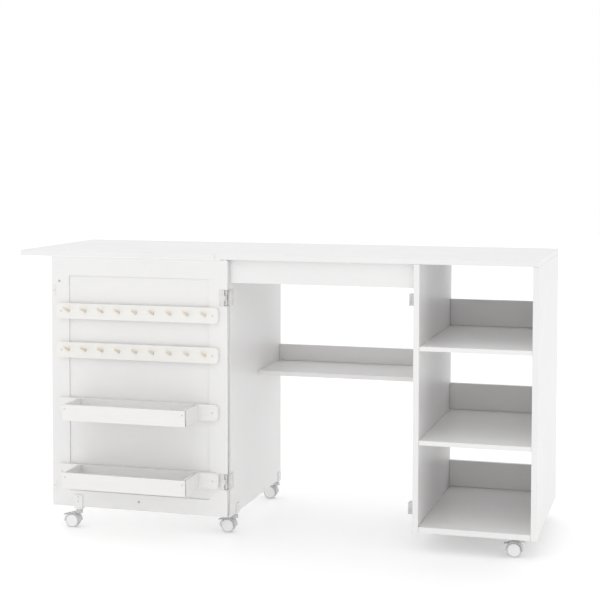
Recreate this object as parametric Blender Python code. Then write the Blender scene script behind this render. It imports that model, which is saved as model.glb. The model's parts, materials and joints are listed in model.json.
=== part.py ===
"""Folding sewing table: fixed top on a cabinet, drop leaf, storage door and five braked casters.

Frame: metres, +X to the right, +Y to the back, +Z up. The origin is on the floor, under the
middle of the table's bounding box. The table stands open: leaf up, door swung out to the left.
"""
import math

import bmesh
import bpy
from mathutils import Matrix, Vector

# Overall size, open
TOTAL_LENGTH = 1.417
DEPTH = 0.495
HEIGHT = 0.762
FIXED_TOP_LENGTH = 0.852

# Boards and the gaps between them
BOARD = 0.015
SHELF = 0.012
JOINT_GAP = 0.0003
BOARD_EDGE = 0.0009
TOP_EDGE = 0.0005
TOP_SEAM = 0.00015

# Carcass
PANEL_BOTTOM = 0.0555
LEFT_OVERHANG = 0.024
KNEE_WIDTH = 0.496
SIDE_PANEL_SETBACK = 0.0165
APRON_HEIGHT = 0.062
BACK_INSET = 0.004
SHELF_SETBACK = 0.001
UPPER_SHELF_TOP = PANEL_BOTTOM + 0.481
LOWER_SHELF_TOP = PANEL_BOTTOM + 0.2387
BACK_BOARD_HEIGHT = 0.0755
KNEE_SHELF_TOP = PANEL_BOTTOM + 0.3594
KNEE_SHELF_FRONT = 0.262
KNEE_BACK_BOARD_HEIGHT = 0.0475

# Door: hinged at the left side panel on cranked hinges whose axis lies in its middle plane.
# Open, its inner face is flush with the leaf's front edge. Its top edge slopes down to the outer
# face, because the leaf starts to drop as the door starts to close.
DOOR_THICKNESS = 0.012
DOOR_AXIS_DEPTH = 0.006
DOOR_AXIS_INSET = 0.0056
DOOR_BEYOND_AXIS = 0.0055
DOOR_CLOSED_GAP = 0.004
DOOR_TOP_GAP = 0.0005
DOOR_TOP_SLOPE = 0.52
DOOR_TOP_CHAMFER = 0.0010
DOOR_LIFT = 0.0028
LOCK_STILE_WIDTH = 0.0515
HINGE_STILE_WIDTH = 0.051
TOP_RAIL_HEIGHT = 0.0515
BOTTOM_RAIL_HEIGHT = 0.0436
DOOR_PANEL_THICKNESS = 0.006
DOOR_EDGE = 0.0006

# Racks and bins on the inner face of the door
RACK_LENGTH = 0.4658
RACK_HEIGHT = 0.042
RACK_THICKNESS = 0.012
RACK_FROM_HINGE = 0.0226
RACK_CORNER = 0.010
RACK_BOTTOMS = (PANEL_BOTTOM + 0.4154, PANEL_BOTTOM + 0.5220)
PEGS_PER_RACK = 9
PEG_SPACING = 0.0491
PEG_RADIUS = 0.0038
PEG_LENGTH = 0.041
PEG_TILT = math.radians(21)
PEG_ROOT_HEIGHT = 0.019
BIN_BOTTOMS = (PANEL_BOTTOM + 0.0795, PANEL_BOTTOM + 0.2625)
BIN_LENGTH = 0.348
BIN_DEPTH = 0.105
BIN_FROM_RACK_MIDDLE = 0.0045
BIN_WALL = 0.009
BIN_FLOOR = 0.006

# Knob on the outer face of the door. Its profile runs from the door outwards: radius, distance.
KNOB_FROM_EDGE = 0.023
KNOB_Z = PANEL_BOTTOM + 0.6232
KNOB_PROFILE = (
    (0.0, 0.0),
    (0.0065, 0.0),
    (0.0060, 0.0080),
    (0.0115, 0.0130),
    (0.0125, 0.0165),
    (0.0110, 0.0200),
    (0.0060, 0.0215),
    (0.0, 0.0218),
)

# Leaf hinges: butt hinges screwed under the top
LEAF_HINGE_CENTRES = (0.085, 0.410)
LEAF_HINGE_LENGTH = 0.060
LEAF_HINGE_WIDTH = 0.0215
LEAF_HINGE_PLATE = 0.0015
LEAF_HINGE_RADIUS = 0.0032

# Door hinges: a plate on the door and an angle plate on the front edge of the side panel
DOOR_HINGE_BOTTOMS = (PANEL_BOTTOM + 0.0759, PANEL_BOTTOM + 0.5685)
DOOR_HINGE_HEIGHT = 0.0425
DOOR_HINGE_PLATE = 0.0015
DOOR_HINGE_PLATE_WIDTH = 0.0221
DOOR_HINGE_RETURN = 0.022
DOOR_HINGE_RADIUS = 0.0030
DOOR_NOTCH_CLEARANCE = 0.0006

# Magnetic catches on the partition, strikes on the door
CATCH_HEIGHTS = (PANEL_BOTTOM + 0.058, PANEL_BOTTOM + 0.598)
CATCH_BODY = (0.014, 0.024, 0.030)
CATCH_EAR_HEIGHT = 0.044
CATCH_EAR_THICKNESS = 0.002
CATCH_CLEARANCE = 0.0006
STRIKE_SIZE = (0.011, 0.0012, 0.026)
STRIKE_FROM_EDGE = 0.0010
STRIKE_EDGE = 0.0002

# Casters
WHEEL_RADIUS = 0.0185
CASTER_TRAIL = 0.018
WHEEL_SIDE = 0.0115
WEB_HALF = 0.0022
HUB_HALF = 0.0025
WHEEL_INNER = 0.0028
WHEEL_TREAD_ROUND = 0.0018
AXLE_RADIUS = 0.0030
AXLE_BORE_RADIUS = 0.0034
HUB_RADIUS = 0.0065
HOOD_INNER = 0.0197
HOOD_OUTER = 0.0220
HOOD_HALF_WIDTH = 0.0125
HOOD_START = math.radians(-5)
HOOD_END = math.radians(120)
ARM_END = math.radians(186)
ARM_INNER = 0.009
ARM_STEP = 0.0002
WEB_TRIM = math.radians(3)
HEAD_RADIUS = 0.009
HEAD_BOTTOM = 0.0365
HEAD_TOP = 0.0494
BOSS_RADIUS = 0.008
BOSS_BOTTOM = 0.0497
PLATE_BOTTOM = 0.0525
PLATE_HALF = 0.0125
TAB_THICKNESS = 0.0025
SIDE_TAB_HEIGHT = 0.025
DOOR_TAB_HEIGHT = 0.035
BRAKE_PIVOT_RADIUS = 0.0225
BRAKE_PIVOT_ANGLE = math.radians(128)
BRAKE_BARREL = 0.002
BRAKE_HALF_WIDTH = 0.008
BRAKE_LENGTH = 0.013
BRAKE_DROP = 0.003
BRAKE_THICKNESS = 0.0022
SIDE_CASTER_FRONT = 0.076
CABINET_CASTER_FRONT = 0.050
CASTER_BACK = 0.476
DOOR_CASTER_FROM_AXIS = 0.425
CABINET_CASTER_FROM_RIGHT = 0.043

ROUND_SEGMENTS = 24
SMALL_SEGMENTS = 12
CORNER_SEGMENTS = 4
EDGE_SEGMENTS = 2
SHARP_ANGLE = math.radians(40)
SMOOTH_ANGLE = math.radians(30)
MERGE_DISTANCE = 1e-6

# Places worked out from the sizes above
LEFT = -TOTAL_LENGTH / 2
RIGHT = TOTAL_LENGTH / 2
LEAF_HINGE_X = RIGHT - FIXED_TOP_LENGTH
DOOR_OPEN_SETBACK = DOOR_THICKNESS - 2 * DOOR_AXIS_DEPTH
BIN_FRONT_REACH = DOOR_OPEN_SETBACK - 2 * JOINT_GAP - RACK_THICKNESS - BIN_DEPTH
FRONT = -(DEPTH + BIN_FRONT_REACH) / 2
BACK = FRONT + DEPTH
UNDER_TOP = HEIGHT - BOARD
SIDE_OUTER_X = LEAF_HINGE_X + LEFT_OVERHANG
SIDE_INNER_X = SIDE_OUTER_X + BOARD
PARTITION_LEFT_X = SIDE_INNER_X + KNEE_WIDTH
PARTITION_RIGHT_X = PARTITION_LEFT_X + BOARD
RIGHT_INNER_X = RIGHT - BOARD
DOOR_AXIS_Y = FRONT + DOOR_THICKNESS - DOOR_AXIS_DEPTH
DOOR_AXIS = Vector((SIDE_OUTER_X + DOOR_AXIS_INSET, DOOR_AXIS_Y, 0.0))
DOOR_HINGE_EDGE = DOOR_AXIS.x + DOOR_BEYOND_AXIS
DOOR_FREE_EDGE = 2 * DOOR_AXIS.x - PARTITION_LEFT_X + DOOR_CLOSED_GAP
DOOR_INNER_Y = FRONT + DOOR_OPEN_SETBACK
DOOR_OUTER_Y = DOOR_INNER_Y + DOOR_THICKNESS
DOOR_BOTTOM = PANEL_BOTTOM + DOOR_LIFT
DOOR_TOP = UNDER_TOP - DOOR_TOP_GAP
LEAF_AXIS_Z = UNDER_TOP - LEAF_HINGE_RADIUS - JOINT_GAP
LEAF_AXIS = Vector((LEAF_HINGE_X, (FRONT + BACK) / 2, LEAF_AXIS_Z))
RACK_RIGHT = DOOR_HINGE_EDGE - RACK_FROM_HINGE
RACK_LEFT = RACK_RIGHT - RACK_LENGTH
RACK_BACK = DOOR_INNER_Y - JOINT_GAP

# Colour, roughness and metallic value of each finish
FINISHES = {
    "white_board": ((0.86, 0.86, 0.85), 0.42, 0.0),
    "warm_white_board": ((0.87, 0.85, 0.82), 0.45, 0.0),
    "hinge_steel": ((0.66, 0.65, 0.62), 0.35, 0.9),
    "catch_plastic": ((0.66, 0.66, 0.66), 0.40, 0.0),
    "knob_white": ((0.84, 0.84, 0.83), 0.30, 0.0),
    "caster_steel": ((0.70, 0.70, 0.70), 0.35, 0.8),
    "caster_grey": ((0.42, 0.42, 0.42), 0.45, 0.0),
    "wheel_grey": ((0.74, 0.74, 0.74), 0.40, 0.0),
}


def clear_scene():
    for thing in list(bpy.data.objects):
        bpy.data.objects.remove(thing)


def finish_material(name):
    """The Principled material of one finish, made once."""
    existing = bpy.data.materials.get(name)
    if existing:
        return existing
    colour, roughness, metallic = FINISHES[name]
    material = bpy.data.materials.new(name)
    material.use_nodes = True
    shader = material.node_tree.nodes["Principled BSDF"]
    shader.inputs["Base Color"].default_value = (*colour, 1.0)
    shader.inputs["Roughness"].default_value = roughness
    shader.inputs["Metallic"].default_value = metallic
    return material


def joint_empty(name, location, parent=None, turn=0.0):
    """An empty on a joint's axis. Its location is in its parent's frame."""
    empty = bpy.data.objects.new(name, None)
    bpy.context.collection.objects.link(empty)
    empty.parent = parent
    empty.location = location
    empty.rotation_euler.z = turn
    return empty


def mesh_object(name, mesh, finish, holder=None):
    """One node: a mesh in its holder's frame, or in the table's frame without a holder."""
    node = bpy.data.objects.new(name, mesh)
    bpy.context.collection.objects.link(node)
    node.parent = holder
    if not mesh.materials:
        mesh.materials.append(finish_material(finish))
    return node


def mesh_from(bm, name):
    bmesh.ops.recalc_face_normals(bm, faces=bm.faces)
    mesh = bpy.data.meshes.new(name)
    bm.to_mesh(mesh)
    bm.free()
    return mesh


def round_edges(node, width):
    """A Bevel modifier on the sharp edges only."""
    bevel = node.modifiers.new("rounded_edges", "BEVEL")
    bevel.width = width
    bevel.segments = EDGE_SEGMENTS
    bevel.limit_method = "ANGLE"
    bevel.angle_limit = SHARP_ANGLE


def box_bmesh(corner, opposite):
    """A box between two opposite corners."""
    bm = bmesh.new()
    bmesh.ops.create_cube(bm, size=1.0)
    size = [abs(end - start) for start, end in zip(corner, opposite)]
    middle = (Vector(corner) + Vector(opposite)) / 2
    placed = Matrix.Translation(middle) @ Matrix.Diagonal((*size, 1.0))
    bmesh.ops.transform(bm, matrix=placed, verts=bm.verts)
    return bm


def prism_bmesh(outline, start, end, axis):
    """An outline extruded from start to end along an axis.

    The outline's points are the other two coordinates, in X, Y, Z order.
    """
    bm = bmesh.new()
    places = [list(point) for point in outline]
    for place in places:
        place.insert("XYZ".index(axis), start)
    face = bm.faces.new([bm.verts.new(place) for place in places])
    grown = bmesh.ops.extrude_face_region(bm, geom=[face])
    step = [0.0, 0.0, 0.0]
    step["XYZ".index(axis)] = end - start
    moved = [item for item in grown["geom"] if isinstance(item, bmesh.types.BMVert)]
    bmesh.ops.translate(bm, verts=moved, vec=step)
    return bm


def cylinder_bmesh(centre, radius, start, end, axis, segments=ROUND_SEGMENTS):
    circle = arc(centre, radius, 0.0, 2 * math.pi, segments, closed=True)
    return prism_bmesh(circle, start, end, axis)


def arc(centre, radius, start, end, segments, closed=False):
    """Points on a circle, without the last one where the arc closes on itself."""
    count = segments if closed else segments + 1
    angles = [start + (end - start) * step / segments for step in range(count)]
    return [(centre[0] + radius * math.cos(a), centre[1] + radius * math.sin(a)) for a in angles]


def rounded_outline(low, high, radius):
    """A rectangle with round corners."""
    corners = (
        (high[0] - radius, high[1] - radius),
        (low[0] + radius, high[1] - radius),
        (low[0] + radius, low[1] + radius),
        (high[0] - radius, low[1] + radius),
    )
    points = []
    for quarter, corner in enumerate(corners):
        start = quarter * math.pi / 2
        points += arc(corner, radius, start, start + math.pi / 2, CORNER_SEGMENTS)
    return points


def combined(name, base, tools, operation="UNION"):
    """Applies Boolean modifiers to a mesh and returns the single closed result."""
    body = bpy.data.objects.new(name, base)
    bpy.context.collection.objects.link(body)
    helpers = []
    for tool in tools:
        helper = bpy.data.objects.new(name + "_tool", tool)
        bpy.context.collection.objects.link(helper)
        helpers.append(helper)
        cut = body.modifiers.new("combine", "BOOLEAN")
        cut.operation = operation
        cut.solver = "EXACT"
        cut.object = helper
    graph = bpy.context.evaluated_depsgraph_get()
    result = bpy.data.meshes.new_from_object(body.evaluated_get(graph))
    for used in [body, *helpers]:
        bpy.data.objects.remove(used)
    result.name = name
    return result


def board(name, low, high, finish="white_board", holder=None, edge=BOARD_EDGE):
    """A board between two corners of the table's frame, carried by its holder."""
    place = holder.location if holder else Vector((0.0, 0.0, 0.0))
    bm = box_bmesh(Vector(low) - place, Vector(high) - place)
    node = mesh_object(name, mesh_from(bm, name), finish, holder)
    round_edges(node, edge)
    return node


def carried(bm, holder):
    """Moves geometry from the table's frame into its holder's frame."""
    bmesh.ops.translate(bm, verts=bm.verts, vec=-holder.location)
    return bm


def make_top_and_leaf(leaf):
    top_low = (LEAF_HINGE_X + TOP_SEAM, FRONT, UNDER_TOP)
    board("top_panel", top_low, (RIGHT, BACK, HEIGHT), edge=TOP_EDGE)
    leaf_high = (LEAF_HINGE_X - TOP_SEAM, BACK, HEIGHT)
    board("leaf_panel", (LEFT, FRONT, UNDER_TOP), leaf_high, holder=leaf, edge=TOP_EDGE)


def make_carcass():
    """Side panels, partition, shelves, back boards and apron."""
    top = UNDER_TOP - JOINT_GAP
    back = BACK - BACK_INSET
    apron_front = FRONT + SIDE_PANEL_SETBACK
    board("left_side_panel", (SIDE_OUTER_X, apron_front, PANEL_BOTTOM), (SIDE_INNER_X, BACK, top))
    board("partition_panel", (PARTITION_LEFT_X, FRONT, PANEL_BOTTOM), (PARTITION_RIGHT_X, BACK, top))
    board("right_side_panel", (RIGHT_INNER_X, FRONT, PANEL_BOTTOM), (RIGHT, BACK, top))

    left, right = SIDE_INNER_X + JOINT_GAP, PARTITION_LEFT_X - JOINT_GAP
    board("front_apron", (left, apron_front, top - APRON_HEIGHT), (right, apron_front + BOARD, top))
    shelf_low = (left, FRONT + KNEE_SHELF_FRONT, KNEE_SHELF_TOP - SHELF)
    board("knee_shelf", shelf_low, (right, back, KNEE_SHELF_TOP))
    rest = KNEE_SHELF_TOP + JOINT_GAP
    board("knee_back_board", (left, back - SHELF, rest), (right, back, rest + KNEE_BACK_BOARD_HEIGHT))

    inside_left, inside_right = PARTITION_RIGHT_X + JOINT_GAP, RIGHT_INNER_X - JOINT_GAP
    front = FRONT + SHELF_SETBACK
    floor_top = PANEL_BOTTOM + BOARD
    board("cabinet_bottom_panel", (inside_left, front, PANEL_BOTTOM), (inside_right, back, floor_top))
    for name, shelf_top in (("lower_shelf", LOWER_SHELF_TOP), ("upper_shelf", UPPER_SHELF_TOP)):
        board(name, (inside_left, front, shelf_top - SHELF), (inside_right, back, shelf_top))
    boards = (("lower", floor_top), ("middle", LOWER_SHELF_TOP), ("upper", UPPER_SHELF_TOP))
    for level, support in boards:
        low = support + JOINT_GAP
        name = level + "_back_board"
        board(name, (inside_left, back - SHELF, low), (inside_right, back, low + BACK_BOARD_HEIGHT))


def door_outline(bottom, top, sloped):
    """Cross-section of a door member in Y and Z.

    A sloped top falls towards the outer face, and the member's inner top edge is chamfered.
    """
    inner, outer = DOOR_INNER_Y, DOOR_OUTER_Y
    outline = [(inner, bottom), (outer, bottom)]
    if sloped:
        fall = DOOR_TOP_SLOPE * DOOR_TOP_CHAMFER
        outline.append((outer, top - DOOR_TOP_SLOPE * DOOR_THICKNESS))
        outline.append((inner + DOOR_TOP_CHAMFER, top - fall))
        outline.append((inner, top - fall - DOOR_TOP_CHAMFER))
    else:
        outline += [(outer, top), (inner, top)]
    return outline


def hinge_notches(door):
    """Notches through the hinge stile's edge, which clear the knuckles all the way round."""
    notches = []
    reach = DOOR_HINGE_RADIUS + DOOR_NOTCH_CLEARANCE
    for bottom in DOOR_HINGE_BOTTOMS:
        top = bottom + DOOR_HINGE_HEIGHT
        low = (DOOR_AXIS.x - reach, DOOR_INNER_Y - reach, bottom - DOOR_NOTCH_CLEARANCE)
        high = (DOOR_HINGE_EDGE + reach, DOOR_OUTER_Y + reach, top + DOOR_NOTCH_CLEARANCE)
        notches.append(mesh_from(carried(box_bmesh(low, high), door), "hinge_notch"))
    return notches


def make_door_frame(door):
    """Two stiles, two rails and the thinner panel between them."""
    lock_inner = DOOR_FREE_EDGE + LOCK_STILE_WIDTH
    hinge_inner = DOOR_HINGE_EDGE - HINGE_STILE_WIDTH
    left, right = lock_inner + JOINT_GAP, hinge_inner - JOINT_GAP
    rail_top = DOOR_BOTTOM + BOTTOM_RAIL_HEIGHT
    rail_bottom = DOOR_TOP - TOP_RAIL_HEIGHT
    members = (
        ("door_lock_stile", DOOR_FREE_EDGE, lock_inner, DOOR_BOTTOM, DOOR_TOP, True),
        ("door_hinge_stile", hinge_inner, DOOR_HINGE_EDGE, DOOR_BOTTOM, DOOR_TOP, True),
        ("door_top_rail", left, right, rail_bottom, DOOR_TOP, True),
        ("door_bottom_rail", left, right, DOOR_BOTTOM, rail_top, False),
    )
    for name, start, end, bottom, top, sloped in members:
        bm = prism_bmesh(door_outline(bottom, top, sloped), start, end, "X")
        mesh = mesh_from(carried(bm, door), name)
        if name == "door_hinge_stile":
            mesh = combined(name, mesh, hinge_notches(door), "DIFFERENCE")
        node = mesh_object(name, mesh, "white_board", door)
        round_edges(node, DOOR_EDGE)
    middle = (DOOR_INNER_Y + DOOR_OUTER_Y) / 2
    half = DOOR_PANEL_THICKNESS / 2
    panel_low = (left, middle - half, rail_top + JOINT_GAP)
    panel_high = (right, middle + half, rail_bottom - JOINT_GAP)
    board("door_centre_panel", panel_low, panel_high, holder=door, edge=DOOR_EDGE / 2)


def lathe_bmesh(profile, segments):
    """Turns a profile of (radius, height) points, closed on the axis, round Z."""
    bm = bmesh.new()
    verts = [bm.verts.new((radius, 0.0, height)) for radius, height in profile]
    edges = [bm.edges.new(pair) for pair in zip(verts, verts[1:])]
    turn = {"cent": (0.0, 0.0, 0.0), "axis": (0.0, 0.0, 1.0), "angle": 2 * math.pi}
    bmesh.ops.spin(bm, geom=verts + edges, steps=segments, use_merge=True, use_duplicate=False, **turn)
    bmesh.ops.remove_doubles(bm, verts=bm.verts, dist=MERGE_DISTANCE)
    return bm


def make_knob(door):
    """A turned knob on the outer face, near the free edge."""
    bm = lathe_bmesh(KNOB_PROFILE, ROUND_SEGMENTS)
    place = Vector((DOOR_FREE_EDGE + KNOB_FROM_EDGE, DOOR_OUTER_Y + JOINT_GAP, KNOB_Z))
    turn = Matrix.Rotation(-math.pi / 2, 4, "X")
    bmesh.ops.transform(bm, matrix=Matrix.Translation(place) @ turn, verts=bm.verts)
    mesh_object("door_knob", mesh_from(carried(bm, door), "door_knob"), "knob_white", door)


def rail_bmesh(bottom):
    """A flat rail with round ends on the door's inner face."""
    outline = rounded_outline((RACK_LEFT, bottom), (RACK_RIGHT, bottom + RACK_HEIGHT), RACK_CORNER)
    return prism_bmesh(outline, RACK_BACK - RACK_THICKNESS, RACK_BACK, "Y")


def peg_bmesh(x, bottom):
    """A round peg that rises towards its tip, rooted in the middle of the rail."""
    length = PEG_LENGTH + RACK_THICKNESS / 2
    bm = cylinder_bmesh((0.0, 0.0), PEG_RADIUS, 0.0, length, "Z", SMALL_SEGMENTS)
    root = Vector((x, RACK_BACK - RACK_THICKNESS / 2, bottom + PEG_ROOT_HEIGHT))
    lean = Matrix.Rotation(math.pi / 2 - PEG_TILT, 4, "X")
    bmesh.ops.transform(bm, matrix=Matrix.Translation(root) @ lean, verts=bm.verts)
    return bm


def make_racks(door):
    """Two spool racks with a row of pegs each."""
    first = (RACK_LEFT + RACK_RIGHT) / 2 - PEG_SPACING * (PEGS_PER_RACK - 1) / 2
    for level, bottom in zip(("lower", "upper"), RACK_BOTTOMS):
        name = level + "_spool_rack"
        pegs = []
        for number in range(PEGS_PER_RACK):
            bm = peg_bmesh(first + number * PEG_SPACING, bottom)
            pegs.append(mesh_from(carried(bm, door), name + "_peg"))
        rail = mesh_from(carried(rail_bmesh(bottom), door), name)
        mesh_object(name, combined(name, rail, pegs), "warm_white_board", door)


def make_bins(door):
    """Two open-topped bins: a back rail and a tray in front of it."""
    middle = (RACK_LEFT + RACK_RIGHT) / 2 + BIN_FROM_RACK_MIDDLE
    left, right = middle - BIN_LENGTH / 2, middle + BIN_LENGTH / 2
    tray_back = RACK_BACK - RACK_THICKNESS - JOINT_GAP
    tray_front = tray_back - BIN_DEPTH
    for level, bottom in zip(("lower", "upper"), BIN_BOTTOMS):
        name = level + "_bin_rail"
        rail = mesh_from(carried(rail_bmesh(bottom), door), name)
        round_edges(mesh_object(name, rail, "warm_white_board", door), DOOR_EDGE)

        name = level + "_bin_tray"
        top = bottom + RACK_HEIGHT
        shell = box_bmesh((left, tray_front, bottom), (right, tray_back, top))
        room_low = (left + BIN_WALL, tray_front + BIN_WALL, bottom + BIN_FLOOR)
        room_high = (right - BIN_WALL, tray_back + BIN_WALL, top + BIN_WALL)
        room = mesh_from(carried(box_bmesh(room_low, room_high), door), name)
        tray = combined(name, mesh_from(carried(shell, door), name), [room], "DIFFERENCE")
        mesh_object(name, tray, "warm_white_board", door)


def leaf_hinge_mesh(name, start, end, direction, spans):
    """A plate under one panel with a knuckle and a tongue over each of its own spans along Y."""
    upper = UNDER_TOP - JOINT_GAP
    lower = upper - LEAF_HINGE_PLATE
    inner = LEAF_AXIS.x + direction * (LEAF_HINGE_RADIUS + JOINT_GAP)
    outer = LEAF_AXIS.x + direction * LEAF_HINGE_WIDTH
    plate = box_bmesh((inner, start, lower), (outer, end, upper))
    tools = []
    for low_y, high_y in spans:
        axis = (LEAF_AXIS.x, LEAF_AXIS.z)
        roll = cylinder_bmesh(axis, LEAF_HINGE_RADIUS, low_y, high_y, "Y", SMALL_SEGMENTS)
        tongue = box_bmesh((LEAF_AXIS.x, low_y, lower), (outer - direction * JOINT_GAP, high_y, upper))
        tools += [mesh_from(roll, name), mesh_from(tongue, name)]
    return combined(name, mesh_from(plate, name), tools)


def make_leaf_hinges(leaf):
    """Butt hinges under the seam: two outer knuckles on the top's plate, one on the leaf's."""
    third = LEAF_HINGE_LENGTH / 3
    for level, centre in zip(("front", "back"), LEAF_HINGE_CENTRES):
        start = FRONT + centre - LEAF_HINGE_LENGTH / 2
        end = start + LEAF_HINGE_LENGTH
        name = level + "_leaf_hinge_top_plate"
        spans = ((start, start + third), (end - third, end))
        mesh_object(name, leaf_hinge_mesh(name, start, end, 1, spans), "hinge_steel")
        name = level + "_leaf_hinge_leaf_plate"
        spans = ((start + third + JOINT_GAP, end - third - JOINT_GAP),)
        mesh = leaf_hinge_mesh(name, start, end, -1, spans)
        mesh.transform(Matrix.Translation(-leaf.location))
        mesh_object(name, mesh, "hinge_steel", leaf)


def door_knuckle(low, high):
    """One barrel of a door hinge between two heights."""
    axis = (DOOR_AXIS.x, DOOR_AXIS.y)
    return cylinder_bmesh(axis, DOOR_HINGE_RADIUS, low, high, "Z", SMALL_SEGMENTS)


def frame_hinge_mesh(name, bottom, top):
    """The fixed half: an angle plate on the side panel, with the two outer knuckles."""
    third = DOOR_HINGE_HEIGHT / 3
    face_back = FRONT + SIDE_PANEL_SETBACK - JOINT_GAP
    face_front = face_back - DOOR_HINGE_PLATE
    return_left = SIDE_INNER_X + JOINT_GAP
    return_right = return_left + DOOR_HINGE_PLATE
    return_back = face_back + DOOR_HINGE_RETURN
    neck_left = DOOR_AXIS.x - DOOR_HINGE_PLATE / 2
    neck_right = neck_left + DOOR_HINGE_PLATE
    outline = [
        (neck_left, DOOR_AXIS.y),
        (neck_right, DOOR_AXIS.y),
        (neck_right, face_front),
        (return_right, face_front),
        (return_right, return_back),
        (return_left, return_back),
        (return_left, face_back),
        (neck_left, face_back),
    ]
    angle = mesh_from(prism_bmesh(outline, bottom, top, "Z"), name)
    reach = DOOR_HINGE_RADIUS + JOINT_GAP
    low = (DOOR_AXIS.x - reach, DOOR_AXIS.y - reach, bottom + third)
    high = (DOOR_AXIS.x + reach, face_front + JOINT_GAP, top - third)
    notched = combined(name, angle, [mesh_from(box_bmesh(low, high), name)], "DIFFERENCE")
    rolls = [door_knuckle(bottom, bottom + third), door_knuckle(top - third, top)]
    return combined(name, notched, [mesh_from(bm, name) for bm in rolls])


def door_hinge_mesh(name, bottom, top, door):
    """The moving half: a plate on the door's inner face, with the middle knuckle."""
    third = DOOR_HINGE_HEIGHT / 3
    back = DOOR_INNER_Y - JOINT_GAP
    front = back - DOOR_HINGE_PLATE
    left = DOOR_HINGE_EDGE - DOOR_HINGE_PLATE_WIDTH
    neck_left = DOOR_AXIS.x - DOOR_HINGE_PLATE / 2
    neck_right = neck_left + DOOR_HINGE_PLATE
    outline = [
        (left, front),
        (neck_right, front),
        (neck_right, DOOR_AXIS.y),
        (neck_left, DOOR_AXIS.y),
        (neck_left, back),
        (left, back),
    ]
    plate = mesh_from(carried(prism_bmesh(outline, bottom, top, "Z"), door), name)
    reach = DOOR_HINGE_RADIUS + JOINT_GAP
    low, high = bottom + third + JOINT_GAP, top - third - JOINT_GAP
    cuts = []
    for start, end in ((bottom - reach, low), (high, top + reach)):
        corner = (DOOR_AXIS.x - reach, front - reach, start)
        opposite = (DOOR_AXIS.x + reach, DOOR_AXIS.y + reach, end)
        cuts.append(mesh_from(carried(box_bmesh(corner, opposite), door), name))
    notched = combined(name, plate, cuts, "DIFFERENCE")
    return combined(name, notched, [mesh_from(carried(door_knuckle(low, high), door), name)])


def make_door_hinges(door):
    """Cranked hinges, whose knuckles lie in the door's middle plane."""
    for level, bottom in zip(("lower", "upper"), DOOR_HINGE_BOTTOMS):
        top = bottom + DOOR_HINGE_HEIGHT
        name = level + "_door_hinge_frame_plate"
        mesh_object(name, frame_hinge_mesh(name, bottom, top), "hinge_steel")
        name = level + "_door_hinge_door_plate"
        mesh_object(name, door_hinge_mesh(name, bottom, top, door), "hinge_steel", door)


def make_catches(door):
    """Magnetic catches on the partition and their steel strikes on the lock stile."""
    width, depth, height = CATCH_BODY
    strike_width, strike_thickness, strike_height = STRIKE_SIZE
    face = PARTITION_LEFT_X - JOINT_GAP
    closed_strike_face = FRONT + DOOR_THICKNESS + JOINT_GAP + strike_thickness
    front = closed_strike_face + CATCH_CLEARANCE
    back = DOOR_INNER_Y - JOINT_GAP
    strike_left = DOOR_FREE_EDGE + STRIKE_FROM_EDGE
    for level, middle in zip(("lower", "upper"), CATCH_HEIGHTS):
        name = level + "_magnetic_catch"
        low, high = middle - height / 2, middle + height / 2
        body = box_bmesh((face - width, front, low), (face, front + depth, high))
        ear_low = (face - CATCH_EAR_THICKNESS, front + depth / 4, middle - CATCH_EAR_HEIGHT / 2)
        ear_high = (face, front + depth * 3 / 4, middle + CATCH_EAR_HEIGHT / 2)
        ears = mesh_from(box_bmesh(ear_low, ear_high), name)
        mesh_object(name, combined(name, mesh_from(body, name), [ears]), "catch_plastic")

        low = (strike_left, back - strike_thickness, middle - strike_height / 2)
        high = (strike_left + strike_width, back, middle + strike_height / 2)
        board(level + "_catch_strike", low, high, "hinge_steel", door, STRIKE_EDGE)


def side_bracket_mesh(half_thickness, tab_height):
    """A plate under a board's bottom edge with a tab that rises on the board's +X face."""
    tab_left = half_thickness + JOINT_GAP
    tab_right = tab_left + TAB_THICKNESS
    plate_top = PANEL_BOTTOM - JOINT_GAP
    plate = box_bmesh((-half_thickness, -PLATE_HALF, PLATE_BOTTOM), (tab_right, PLATE_HALF, plate_top))
    tab_low = (-PLATE_HALF, PLATE_BOTTOM - TAB_THICKNESS)
    tab_high = (PLATE_HALF, PANEL_BOTTOM + tab_height)
    tab_outline = rounded_outline(tab_low, tab_high, TAB_THICKNESS)
    tab = prism_bmesh(tab_outline, tab_left, tab_right, "X")
    return bracket_with_boss("side_bracket", plate, [tab])


def flat_bracket_mesh():
    """A square plate screwed under the cabinet."""
    outline = rounded_outline((-PLATE_HALF, -PLATE_HALF), (PLATE_HALF, PLATE_HALF), TAB_THICKNESS)
    plate = prism_bmesh(outline, PLATE_BOTTOM, PANEL_BOTTOM - JOINT_GAP, "Z")
    return bracket_with_boss("flat_bracket", plate, [])


def bracket_with_boss(name, plate, extras):
    """Adds the boss over the caster's swivel to a plate."""
    boss_top = PLATE_BOTTOM + TAB_THICKNESS / 2
    boss = cylinder_bmesh((0.0, 0.0), BOSS_RADIUS, BOSS_BOTTOM, boss_top, "Z")
    tools = [mesh_from(bm, name) for bm in [boss, *extras]]
    return combined(name, mesh_from(plate, name), tools)


def ring_sector(inner, outer, start, end):
    """A sector of a ring round the axle, in X and Z."""
    centre = (-CASTER_TRAIL, WHEEL_RADIUS)
    over = arc(centre, outer, start, end, ROUND_SEGMENTS // 2)
    under = arc(centre, inner, end, start, ROUND_SEGMENTS // 2)
    return over + under


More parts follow.
